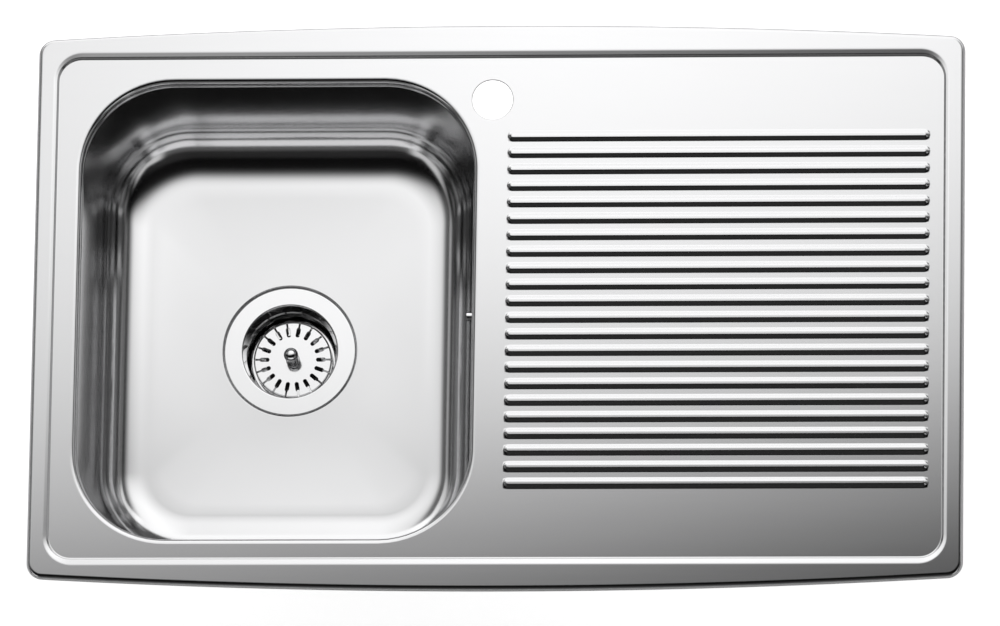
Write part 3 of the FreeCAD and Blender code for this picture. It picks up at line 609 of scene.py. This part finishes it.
def capsule(loop, half_length, half_width, radius):
    """Points of a capsule matched to a rectangle's loop by even shares of each quarter's length."""
    a, b = np.abs(loop[:, 0]), np.abs(loop[:, 1])
    walked = np.where(a >= half_width - TINY, b, half_length + half_width - a)
    share = walked / (half_length + half_width)
    straight = 0.5 * sizes("bowl").slot_height - radius
    run = share * (straight + QUARTER * radius)
    turn = np.maximum(run - straight, 0) / radius
    x = radius * np.cos(turn)
    y = np.minimum(run, straight) + radius * np.sin(turn)
    return np.stack([np.copysign(x, loop[:, 0]), np.copysign(y, loop[:, 1])], 1)


def bowl_patches(s, sheet):
    """Inner skin: drafted wall with slots, floor bend, floor, and the waste's seat."""
    bowl = bowl_outline(s.corner, sheet)
    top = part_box("bowl")[1].z
    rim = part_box("deck_pressing")[1].z
    floor = rim - s.drop
    places, first = bowl_places(s, bowl)
    kept = (s.slot_side + 1) * s.slot_pitch
    slot_z = rim - s.slot_down
    # wall and bend
    lean = math.atan2(s.draft, top - floor)
    corners = [(0.0, top), (-s.draft, floor), (-s.draft - 2 * s.floor_bend, floor)]
    profile = rounded(corners, [s.floor_bend], steps=14, hold=1.5 * MM)
    half_cell = 0.5 * s.slot_height + s.slot_margin
    levels = between(slot_z + half_cell, slot_z - half_cell, WALL_STEP_SLOTS)
    upper = np.concatenate([between(top, levels[0], WALL_STEP_ABOVE)[:-1], levels[:-1],
                            between(levels[-1], profile[1, 1], WALL_STEP_BELOW)])
    wall = np.column_stack([-(top - upper) * math.tan(lean), upper])
    profile = np.vstack([wall, profile[2:-1]])
    share = np.clip((top - profile[:, 1]) / (top - floor), 0, 1)
    extra = (s.floor_corner + s.draft - s.corner) * share
    rows = []
    for (grow, z), part, more in zip(profile, share, extra):
        shape = Outline(bowl.half[0], bowl.half[1] - s.end_lean * part ** LATE, bowl.corner + more,
                        centre=bowl.centre)
        rows.append(fit_side(shape, places, bowl.cy, kept, grow, z))
    rows = np.array(rows)
    # floor and seat: even steps from the bend's foot to the seat's circle
    centre = middle_of("waste_cup")
    seat = radius_of("waste_cup") + s.seat_gap
    hole = radius_of("waste_cup") - s.seat_width
    to = rows[-1][:, :2] - centre
    unit = to / np.linalg.norm(to, axis=1, keepdims=True)
    ring = rounded([(seat + s.seat_margin, floor), (seat, floor), (seat, floor - s.seat_drop),
                    (hole, floor - s.seat_drop)], [s.seat_bend, s.seat_bend], steps=4)
    turned = [with_z(centre + r * unit, z) for r, z in ring]
    ground = rings(rows[-1], turned[0], FLOOR_ROWS)
    t = np.linspace(0, 1, FLOOR_ROWS + 1)[:, None]
    ground[..., 2] = floor + s.floor_fall * (1 - t) ** 2
    rows[..., 2] += s.floor_fall * (share ** LATE)[:, None]
    skin, quads = band(np.concatenate([rows[:-1], ground[:-1], turned]))
    # windows: the quads of each slot's cell give way to rings round a capsule
    columns = len(places)
    start_row = int(np.argmin(np.abs(profile[:, 1] - levels[0])))
    down = len(levels) - 1
    keep = np.ones(len(quads), bool)
    patches = []
    per_cell = 4
    for cell in range(2 * s.slot_side + 1):
        if cell == s.slot_side:
            continue
        left = first + cell * per_cell
        grid = (np.arange(start_row, start_row + down)[:, None] * columns
                + np.arange(left, left + per_cell)[None, :])
        keep[grid.ravel()] = False
        patches.append(window(s, skin, columns, start_row, down, left, per_cell))
    return [(skin, quads[keep])] + patches


def fit_side(shape, places, cy, kept, grow, z):
    """Row of the wall at one level: y stays as it is up to kept, and past it follows the corner's start."""
    y = places[:, 2] * cy
    moved = np.where(y <= kept, y, kept + (y - kept) * (shape.cy - kept) / (cy - kept))
    fitted = places.copy()
    fitted[:, 2] = np.where(places[:, 2] < 1, moved / shape.cy, places[:, 2])
    return shape.at(fitted, grow, z)


def window(s, skin, columns, row, down, left, across):
    """Rings between a cell of the wall's grid and its slot, in the wall's own plane."""
    def at(r, c):
        return skin[r * columns + c]
    r = np.concatenate([np.full(across, row), np.arange(row, row + down), np.full(across, row + down),
                        np.arange(row + down, row, -1)])
    c = np.concatenate([np.arange(left, left + across), np.full(down, left + across),
                        np.arange(left + across, left, -1), np.full(down, left)])
    loop = at(r, c)
    middle = 0.5 * (loop.min(0) + loop.max(0))
    down_wall = at(row + down, left) - at(row, left)
    half_length = 0.5 * np.linalg.norm(down_wall)
    down_wall = down_wall / np.linalg.norm(down_wall)
    along = np.array([0.0, 1.0, 0.0])
    flat = np.stack([(loop - middle) @ along, (loop - middle) @ down_wall], 1)
    half_width = np.abs(flat[:, 0]).max()
    slot = capsule(flat, half_length, half_width, 0.5 * s.slot_width)
    inner = middle + slot[:, :1] * along + slot[:, 1:] * down_wall
    ring = (middle + (slot * (1 + EDGE / s.slot_width))[:, :1] * along
            + slot[:, 1:] * (1 + EDGE / s.slot_height) * down_wall)
    return band(np.concatenate([rings(loop, ring, 2), [inner]]))


# ---------------------------------------------------------------- waste and basket
def cup_patches(s):
    """Flange, throat, shoulder and cup, then a floor of sectors with one drain hole each."""
    low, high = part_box("waste_cup")
    flange = radius_of("waste_cup")
    top, bottom = high.z, low.z + s.flange_sheet
    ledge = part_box("flange_seal")[0].z
    axis = middle_of("waste_cup")
    inner, outer = s.drain_inner, s.drain_outer
    shoulder = top - s.shoulder
    corners = [(flange, ledge), (flange, top), (s.throat, top), (s.cup_radius, shoulder),
               (s.cup_radius, bottom), (outer, bottom)]
    radii = [s.flange_bend, s.throat_bend, s.cup_bend / 3, s.cup_bend]
    per_sector = 12
    around = s.drain_count * per_sector
    wall = revolve(rounded(corners, radii, steps=5), axis, around)
    middle = revolve([(inner, bottom), (0.5 * inner, bottom), (POLE, bottom)], axis, around)
    patches = [band(wall), band(middle)]
    turn = np.arange(per_sector + 1) * 2 * math.pi / around
    radial = np.linspace(inner, outer, 9)
    for sector in range(s.drain_count):
        a = turn + sector * 2 * math.pi / s.drain_count
        r = np.concatenate([np.full(per_sector, outer), radial[:0:-1], np.full(per_sector, inner),
                            radial[:-1]])
        angle = np.concatenate([a[:-1], np.full(8, a[-1]), a[:0:-1], np.full(8, a[0])])
        loop = about(axis, r, angle, bottom)
        half = a[0] + math.pi / s.drain_count
        hub = axis + s.drain_circle * np.array([math.cos(half), math.sin(half)])
        way = loop[:, :2] - hub
        way = way / np.linalg.norm(way, axis=1, keepdims=True)
        ring, hole = [with_z(hub + (s.drain_radius + more) * way, bottom) for more in (EDGE, 0.0)]
        patches.append(band(np.concatenate([rings(loop, ring, 3), [hole]])))
    return patches


def dish_patches(s):
    """Strainer dish in sectors: each tab spans its slice less half a gap g(r) at both edges.

    g is 0 inside the slots, sqrt(w^2 - (r0 + w - r)^2) on their round ends, then w, then half the slit:
    the edge's angle is pi / n - asin(g / r).
    """
    low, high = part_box("strainer_dish")
    top, foot = high.z, low.z
    rim = radius_of("strainer_dish")
    axis = middle_of("waste_cup")
    w, slit = 0.5 * s.slot_width, 0.5 * s.slit_width
    profile = rounded([(s.stem_radius, top), (rim, top), (rim, foot)], [s.dish_bend], steps=6, hold=0.1 * MM)
    start, end = s.slot_inner, s.slot_outer
    ease = w * (1 - np.cos(np.linspace(0, QUARTER, 6)))
    flat = np.concatenate([np.linspace(s.stem_radius, start - EDGE, 7), start + ease,
                           np.linspace(start + w, end - w, 5)[1:], end - ease[::-1][1:-1],
                           [end - 0.05 * w], [end + 0.6 * MM]])
    rows = np.vstack([np.column_stack([flat, np.full(len(flat), top)]), profile[1:]])
    r = rows[:, 0]
    opening = np.sqrt(np.maximum(w ** 2 - np.maximum(start + w - r, 0) ** 2, 0))
    closing = np.sqrt(np.maximum(w ** 2 - np.maximum(r - end + w, 0) ** 2, 0))
    gap = np.where(r <= start, 0.0, np.minimum(opening, np.maximum(closing, slit)))
    gap[len(flat) - 1:] = slit
    half = math.pi / s.slot_count - np.arcsin(gap / r)
    patches = []
    across = np.array([-1.0, -0.93, -0.6, -0.2, 0.2, 0.6, 0.93, 1.0])
    for tab in range(s.slot_count):
        angle = (tab + 0.5) * 2 * math.pi / s.slot_count + half[:, None] * across[None, :]
        patches.append(band(about(axis, r[:, None], angle, rows[:, 1:2]), closed=False))
    return patches


def knob_patches(s):
    """Ball r = R cos(t), z = R sin(t), with a groove R - d exp(-(z / w)^2) turned round its middle."""
    low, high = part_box("strainer_knob")
    radius = radius_of("strainer_knob")
    middle = 0.5 * (low.z + high.z)
    t = np.linspace(-QUARTER, QUARTER, 41)
    z = 0.5 * (high.z - low.z) * np.sin(t)
    groove = s.knob_groove * np.exp(-(z / (s.groove_share * radius)) ** 2)
    r = np.maximum((radius - groove) * np.cos(t) ** s.knob_fullness, POLE)
    return [band(revolve(np.column_stack([r, middle + z]), middle_of("waste_cup"), KNOB_AROUND))]


# ---------------------------------------------------------------- pipe and threads
def pipe_patches(s):
    """Overflow pipe: rings square to an axis of two straight runs and a quarter bend."""
    low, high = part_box("overflow_pipe")
    radius = 0.5 * (high.y - low.y)
    x, y = high.x - radius, 0.5 * (low.y + high.y)
    level = low.z + radius
    t = np.linspace(0, QUARTER, 17)
    bend_x = x - s.pipe_bend + s.pipe_bend * np.cos(t)
    bend_z = level + s.pipe_bend - s.pipe_bend * np.sin(t)
    px = np.concatenate([[x, x], bend_x, [bend_x[-1] - MM, low.x]])
    pz = np.concatenate([[high.z, level + s.pipe_bend + MM], bend_z, [level, level]])
    lean = np.concatenate([[0, 0], t, [QUARTER, QUARTER]])
    around = turns(PIPE_AROUND)
    skins = []
    for r in (radius, radius - s.pipe_wall):
        out, side = r * np.cos(around), r * np.sin(around)
        ring_x = px[:, None] + np.outer(np.cos(lean), out)
        ring_z = pz[:, None] - np.outer(np.sin(lean), out)
        skins.append(np.stack([ring_x, np.broadcast_to(y + side, ring_x.shape), ring_z], -1))
    outer, inner = skins
    return [band(outer), band(inner[::-1]), band([inner[0], outer[0]]), band([outer[-1], inner[-1]])]


def screw_patches(s, node):
    """Clip screw: r = R - d |2 frac(z / p - a / 2 pi) - 1| for its thread, and its hexagonal head."""
    low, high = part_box(node)
    axis = middle_of(node)
    head = 0.25 * (high.x - low.x + high.y - low.y)
    head_top = low.z + s.head_height
    around = turns(THREAD_AROUND)
    z = between(head_top, high.z, 0.25 * s.thread_pitch)
    wave = np.abs(2 * np.mod(z[:, None] / s.thread_pitch - around / (2 * math.pi), 1) - 1)
    r = s.thread_radius - s.thread_depth * wave
    shank = about(axis, r, around, z[:, None])
    cap = shank[-1:].copy()
    cap[..., :2] = axis
    six = turns(6) + math.pi / 6
    rows = [about(axis, share * head, six, level) for share, level in (
        (CLOSED, low.z), (0.9, low.z), (1.0, low.z + s.head_bevel), (1.0, head_top), (CLOSED, head_top))]
    return [band(np.concatenate([shank, cap])), band(rows)]


# ---------------------------------------------------------------- materials
class Wire:
    """A node's output. Sums and products with it add Math nodes, or Vector Math ones for vectors."""

    def __init__(self, socket):
        self.socket = socket

    @staticmethod
    def node(tree, kind, output=0, inputs=None, **settings):
        """Adds a node: inputs by name or number take numbers, colours or wires; settings are its properties."""
        made = tree.nodes.new(kind)
        for key, value in settings.items():
            setattr(made, key, value)
        for key, value in (inputs or {}).items():
            if isinstance(value, Wire):
                tree.links.new(value.socket, made.inputs[key])
            else:
                made.inputs[key].default_value = value
        return Wire(made.outputs[output])

    def sum(self, operation, first, second):
        """One Math node, or a Vector Math one where either side is a vector."""
        vector = any(isinstance(v, Wire) and v.socket.type == "VECTOR" for v in (first, second))
        kind = "ShaderNodeVectorMath" if vector else "ShaderNodeMath"
        if vector:
            first, second = [v if isinstance(v, Wire) else (v, v, v) for v in (first, second)]
        return Wire.node(self.socket.id_data, kind, 0, {0: first, 1: second}, operation=operation)

    def __add__(self, other):
        return self.sum("ADD", self, other)

    def __radd__(self, other):
        return self.sum("ADD", other, self)

    def __sub__(self, other):
        return self.sum("SUBTRACT", self, other)

    def __rsub__(self, other):
        return self.sum("SUBTRACT", other, self)

    def __mul__(self, other):
        return self.sum("MULTIPLY", self, other)

    def __rmul__(self, other):
        return self.sum("MULTIPLY", other, self)

    def blended(self, how, other):
        """This colour with another laid over it in full."""
        return Wire.node(self.socket.id_data, "ShaderNodeMix", 2, {0: 1.0, 6: self, 7: other},
                         data_type="RGBA", blend_type=how)

    def mixed(self, low, high):
        """Colour between two, by this value from 0 to 1."""
        return Wire.node(self.socket.id_data, "ShaderNodeMix", 2,
                         {0: self, 6: (*low, 1.0), 7: (*high, 1.0)}, data_type="RGBA")


def noise(tree, scale, stretch=(1.0, 1.0, 1.0), detail=3.0):
    """Noise from 0 to 1 over Object coordinates, stretched along chosen axes."""
    place = Wire.node(tree, "ShaderNodeTexCoord", 3)
    fitted = Wire.node(tree, "ShaderNodeMapping", 0, {0: place, 3: stretch})
    return Wire.node(tree, "ShaderNodeTexNoise", 0, {"Vector": fitted, "Scale": scale, "Detail": detail})


def new_material(name):
    """A material and its node tree."""
    material = bpy.data.materials.new(name)
    material.use_nodes = True
    return material, material.node_tree


def components(tree, vector):
    """x, y and z of a vector."""
    split = Wire.node(tree, "ShaderNodeSeparateXYZ", 0, {0: vector})
    return [Wire(socket) for socket in split.socket.node.outputs]


def surface(name, base, roughness, metallic, spread, grain, scale, rough_spread, bump=0.0, bump_scale=400.0):
    """A material whose base colour and roughness both wander a little with noise."""
    material, tree = new_material(name)
    shader = tree.nodes["Principled BSDF"]
    wander = noise(tree, scale, grain)
    low = tuple(c * (1 - spread) for c in base)
    high = tuple(min(1.0, c * (1 + spread)) for c in base)
    tree.links.new(wander.mixed(low, high).socket, shader.inputs["Base Color"])
    rough = wander * (2 * rough_spread) + (roughness - rough_spread)
    tree.links.new(rough.socket, shader.inputs["Roughness"])
    shader.inputs["Metallic"].default_value = metallic
    if bump:
        fine = noise(tree, bump_scale, grain, 2.0)
        bumped = Wire.node(tree, "ShaderNodeBump", 0, {"Strength": bump, "Distance": 0.4 * MM, "Height": fine})
        tree.links.new(bumped.socket, shader.inputs["Normal"])
    return material


# slot: base colour, roughness, metallic, spread of colour, stretch of the grain, its scale, spread of
# roughness, bump and the bump's scale
FINISHES = {
    "stainless_sheet": ((0.66, 0.66, 0.665), 0.15, 1.0, 0.015, (0.3, 6.0, 6.0), 40.0, 0.015),
    "stainless_bowl": ((0.66, 0.66, 0.665), 0.14, 1.0, 0.015, (1.0, 1.0, 1.0), 30.0, 0.015),
    "polished_stainless": ((0.74, 0.74, 0.745), 0.1, 1.0, 0.02, (1.0, 1.0, 1.0), 50.0, 0.02),
    "steel_fastener": ((0.62, 0.62, 0.63), 0.22, 1.0, 0.05, (1.0, 1.0, 1.0), 300.0, 0.05),
    "zinc_steel": ((0.60, 0.62, 0.64), 0.34, 1.0, 0.1, (1.0, 1.0, 1.0), 160.0, 0.08),
    "moulded_plastic": ((0.78, 0.78, 0.77), 0.48, 0.0, 0.03, (1.0, 1.0, 1.0), 90.0, 0.05, 0.15, 900.0),
    "basket_plastic": ((0.035, 0.035, 0.038), 0.4, 0.0, 0.08, (1.0, 1.0, 1.0), 90.0, 0.05, 0.15, 900.0),
    "rubber_seal": ((0.028, 0.028, 0.03), 0.6, 0.0, 0.15, (1.0, 1.0, 1.0), 200.0, 0.06, 0.2, 1500.0),
    "foam_gasket": ((0.06, 0.06, 0.063), 0.85, 0.0, 0.25, (1.0, 1.0, 1.0), 500.0, 0.05, 0.5, 2500.0),
    "damping_pad": ((0.07, 0.07, 0.075), 0.8, 0.0, 0.12, (1.0, 1.0, 1.0), 120.0, 0.08, 0.4, 700.0),
}


def painted(piece, slot):
    """Gives a piece the procedural finish of one material slot."""
    name = "finish_" + slot
    made = bpy.data.materials.get(name) or surface(name, *FINISHES[slot])
    piece.data.materials.clear()
    piece.data.materials.append(made)
    return piece


# ---------------------------------------------------------------- operators
class SINK_OT_pressing(bpy.types.Operator):
    """Top pressing with its rim, ribs, tap hole and collar."""
    bl_idname = "sink.pressing"
    bl_label = "Top pressing"

    def execute(self, context):
        s = sizes("pressing")
        made_piece("top_pressing", pressing_patches(s), "sink", "deck_pressing", "stainless_sheet", s.sheet)
        return {"FINISHED"}


class SINK_OT_bowl(bpy.types.Operator):
    """Drawn bowl with its overflow slots and seat."""
    bl_idname = "sink.bowl"
    bl_label = "Bowl"

    def execute(self, context):
        sheet = sizes("pressing").sheet
        made_piece("drawn_bowl", bowl_patches(sizes("bowl"), sheet), "sink", "bowl", "stainless_bowl", sheet)
        return {"FINISHED"}


class SINK_OT_waste(bpy.types.Operator):
    """Flange and cup of the waste."""
    bl_idname = "sink.waste"
    bl_label = "Waste"

    def execute(self, context):
        s = sizes("waste")
        made_piece("pressed_cup", cup_patches(s), "sink", "waste_cup", "polished_stainless", s.flange_sheet)
        return {"FINISHED"}


class SINK_OT_basket(bpy.types.Operator):
    """Strainer dish and its knob."""
    bl_idname = "sink.basket"
    bl_label = "Basket"

    def execute(self, context):
        s = sizes("waste")
        made_piece("slotted_dish", dish_patches(s), "strainer", "strainer_dish", "polished_stainless",
                   s.dish_sheet)
        made_piece("turned_knob", knob_patches(s), "strainer", "strainer_knob", "polished_stainless")
        return {"FINISHED"}


class SINK_OT_fittings(bpy.types.Operator):
    """Overflow pipe, threaded clip screws, and the finishes of all other pieces, with the plug hub painted
    near-black as shade under the dish's slots.
    """
    bl_idname = "sink.fittings"
    bl_label = "Fittings"

    def execute(self, context):
        s = sizes("fitting")
        made_piece("bent_pipe", pipe_patches(s), "sink", "overflow_pipe", "moulded_plastic")
        for name in sorted(frame["nodes"]):
            if name.startswith("clip_screw_"):
                number = name.rsplit("_", 1)[1]
                made_piece("threaded_screw_" + number, screw_patches(s, name), "clip_turn_" + number, name,
                           "zinc_steel")
        for part in frame["record"]["subparts"]:
            node = frame["nodes"][part["node"]]
            if not node.hide_render:
                # painted shade: the plug hub gets the near-black basket plastic instead of its own grey, so that
                # the dish's slots read dark
                painted(node, "basket_plastic" if part["node"] == "plug_hub" else part["material_slot"])
        return {"FINISHED"}


# ---------------------------------------------------------------- stage
def plane(name, size, z):
    """Level square of the stage."""
    half = 0.5 * size
    mesh = bpy.data.meshes.new(name)
    corners = [(-half, -half, z), (half, -half, z), (half, half, z), (-half, half, z)]
    mesh.from_pydata(corners, [], [(0, 1, 2, 3)])
    made = bpy.data.objects.new(name, mesh)
    bpy.context.scene.collection.objects.link(made)
    made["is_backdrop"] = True
    return made


# studio's light against atan2(y, z) of the direction in degrees, share of it against the direction's x,
# and what the light from both sides adds against x
SKY = ((-180, 0.5), (-88, 0.16), (-63, 0.12), (-57, 0.02), (0, 0.01), (40, 1.5), (60, 1.5), (90, 1.4),
       (110, 1.2), (180, 0.5))
SKY_X = ((-1, 0.03), (-0.75, 0.05), (-0.4, 1.0), (0.35, 1.0), (0.6, 0.3), (1, 0.08))
SKY_SIDE = ((-1, 0.28), (-0.94, 0.24), (-0.88, 0.0), (0.88, 0.0), (0.94, 0.24), (1, 0.28))
# low light from the corners of the studio: its level against the direction's z, and share of it against x
SKY_LOW = ((0, 0.0), (0.14, 0.0), (0.2, 0.5), (0.55, 0.5), (0.7, 0.0), (1, 0.0))
SKY_CORNER = ((-1, 0.0), (-0.84, 0.0), (-0.77, 1.0), (-0.5, 1.0), (-0.38, 0.0), (0.38, 0.0), (0.5, 1.0),
              (0.77, 1.0), (0.84, 0.0), (1, 0.0))
# soft light overhead: level against its own y in metres, and share of it against x
SOFT_Y = ((-1.5, 0.03), (-0.95, 0.03), (-0.75, 0.004), (-0.27, 0.006), (-0.14, 0.035), (-0.035, 0.18),
          (0.035, 0.43), (0.08, 0.56), (0.124, 0.78), (0.177, 0.97), (0.229, 1.1), (0.3, 1.28), (0.405, 1.43),
          (0.563, 1.55), (1.5, 1.55))
SOFT_X = ((-1.5, 0.05), (-1.1, 0.1), (-0.8, 0.7), (-0.45, 0.84), (-0.06, 1.0), (0.073, 1.0), (0.363, 0.94),
          (0.6, 0.85), (0.85, 0.4), (1.1, 0.05), (1.5, 0.05))


def ramp(tree, factor, stops):
    """Piecewise linear value of a factor from 0 to 1."""
    made = Wire.node(tree, "ShaderNodeValToRGB", 0, {0: factor})
    elements = made.socket.node.color_ramp.elements
    while len(elements) < len(stops):
        elements.new(0.5)
    for element, (place, value) in zip(elements, stops):
        element.position = place
        element.color = (value, value, value, 1)
    return made


def against(tree, factor, table, span, top=1.0):
    """Value of a table of (place, value) at a factor that runs over span, as a share of top."""
    low, high = span
    scale = 1 / (high - low)
    return ramp(tree, factor * scale - low * scale, [((at - low) * scale, value / top) for at, value in table])


def studio():
    """World: a broad soft light overhead and behind, dark to the front, white where the camera sees it.

    Its level follows the angle atan2(y, z) of the direction, from the zenith towards the back, times a share
    by x. Light from both sides and low light from the corners are added.
    """
    world = bpy.data.worlds.new("studio")
    world.use_nodes = True
    tree = world.node_tree
    x, y, z = components(tree, Wire.node(tree, "ShaderNodeTexCoord", 0))
    angle = Wire.node(tree, "ShaderNodeMath", 0, {0: y, 1: z}, operation="ARCTAN2")
    top = max(value for _, value in SKY)
    along = against(tree, angle * (180 / math.pi), SKY, (-180, 180), top)
    across, side, corner = [against(tree, x, table, (-1, 1)) for table in (SKY_X, SKY_SIDE, SKY_CORNER)]
    low = against(tree, z, SKY_LOW, (0, 1)).blended("MULTIPLY", corner)
    level = along.blended("MULTIPLY", across).blended("ADD", side).blended("ADD", low)
    seen = Wire.node(tree, "ShaderNodeLightPath", 0)
    colour = Wire.node(tree, "ShaderNodeMix", 2, {0: seen, 6: level, 7: (1, 1, 1, 1)}, data_type="RGBA")
    strength = seen * (1 - top) + top
    background = tree.nodes["Background"]
    tree.links.new(colour.socket, background.inputs["Color"])
    tree.links.new(strength.socket, background.inputs["Strength"])
    return world


def soft_light(s):
    """Large square of soft light over the sink, unseen by the camera: level(y - slant x) times share(x)."""
    span = (SOFT_Y[0][0], SOFT_Y[-1][0])
    panel = plane("soft_light", span[1] - span[0], s.light_height)
    panel.visible_camera = False
    material, tree = new_material("soft_light")
    tree.nodes.clear()
    x, y, _ = components(tree, Wire.node(tree, "ShaderNodeTexCoord", 3))
    top = max(value for _, value in SOFT_Y)
    along = against(tree, y - x * s.light_slant, SOFT_Y, span, top)
    across = against(tree, x, SOFT_X, span)
    light = along.blended("MULTIPLY", across)
    glow = Wire.node(tree, "ShaderNodeEmission", 0, {"Color": light, "Strength": top})
    output = tree.nodes.new("ShaderNodeOutputMaterial")
    tree.links.new(glow.socket, output.inputs["Surface"])
    panel.data.materials.append(material)
    return panel


def floor_material(s):
    """White paper: diffuse, with a share of plain glow where the camera or a reflection sees it."""
    material, tree = new_material("floor")
    shader = tree.nodes["Principled BSDF"]
    shader.inputs["Base Color"].default_value = (s.floor_shade, s.floor_shade, s.floor_shade, 1)
    shader.inputs["Roughness"].default_value = 0.9
    shader.inputs["Specular IOR Level"].default_value = 0.0
    path = Wire.node(tree, "ShaderNodeLightPath", 0)
    camera, glossy = path, Wire(path.socket.node.outputs["Is Glossy Ray"])
    glow = (camera + glossy * s.floor_gloss) * s.floor_glow
    shader.inputs["Emission Color"].default_value = (1, 1, 1, 1)
    tree.links.new(glow.socket, shader.inputs["Emission Strength"])
    return material


class SINK_OT_stage(bpy.types.Operator):
    """Floor, lights, world and camera."""
    bl_idname = "sink.stage"
    bl_label = "Stage"

    def execute(self, context):
        s = sizes("stage")
        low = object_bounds()[0]
        floor = plane("floor", s.floor_size, low.z - s.floor_drop)
        floor.data.materials.append(floor_material(s))
        context.scene.world = studio()
        soft_light(s)
        camera = bpy.data.objects.new("camera", bpy.data.cameras.new("camera"))
        context.scene.collection.objects.link(camera)
        context.scene.camera = camera
        camera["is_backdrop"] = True
        target = Vector(s.target)
        ahead = math.cos(s.side)
        back = Vector((math.sin(s.side), -math.sin(s.tilt) * ahead, math.cos(s.tilt) * ahead))
        right = Vector((0, 1, 0)).cross(back).normalized()
        turn = Matrix((right, back.cross(right), back)).transposed() @ Matrix.Rotation(s.roll, 3, "Z")
        camera.matrix_world = Matrix.LocRotScale(target + s.distance * back, turn.to_quaternion(), None)
        camera.data.lens = s.lens
        camera.data.sensor_width = s.sensor
        context.scene.view_settings.view_transform = "Standard"
        return {"FINISHED"}


class SINK_PT_panel(bpy.types.Panel):
    """Buttons for every piece."""
    bl_idname = "SINK_PT_panel"
    bl_label = "Sink"
    bl_space_type = "VIEW_3D"
    bl_region_type = "UI"
    bl_category = "Sink"

    def draw(self, context):
        for operator in OPERATORS:
            self.layout.operator(operator.bl_idname)


GROUPS = {"pressing": PressingSizes, "bowl": BowlSizes, "waste": WasteSizes, "fitting": FittingSizes,
          "stage": StageSizes}
OPERATORS = (SINK_OT_pressing, SINK_OT_bowl, SINK_OT_waste, SINK_OT_basket, SINK_OT_fittings, SINK_OT_stage)
CLASSES = tuple(GROUPS.values()) + OPERATORS + (SINK_PT_panel,)


def register():
    """Adds the classes and the scene's sizes."""
    for kind in CLASSES:
        bpy.utils.register_class(kind)
    for name, group in GROUPS.items():
        setattr(bpy.types.Scene, "sink_" + name, PointerProperty(type=group))


def unregister():
    """Takes them away again."""
    for name in GROUPS:
        delattr(bpy.types.Scene, "sink_" + name)
    for kind in reversed(CLASSES):
        bpy.utils.unregister_class(kind)


def main():
    """Builds every piece and the stage."""
    register()
    for operator in OPERATORS:
        group, name = operator.bl_idname.split(".")
        getattr(getattr(bpy.ops, group), name)()


if __name__ == "__main__":
    main()
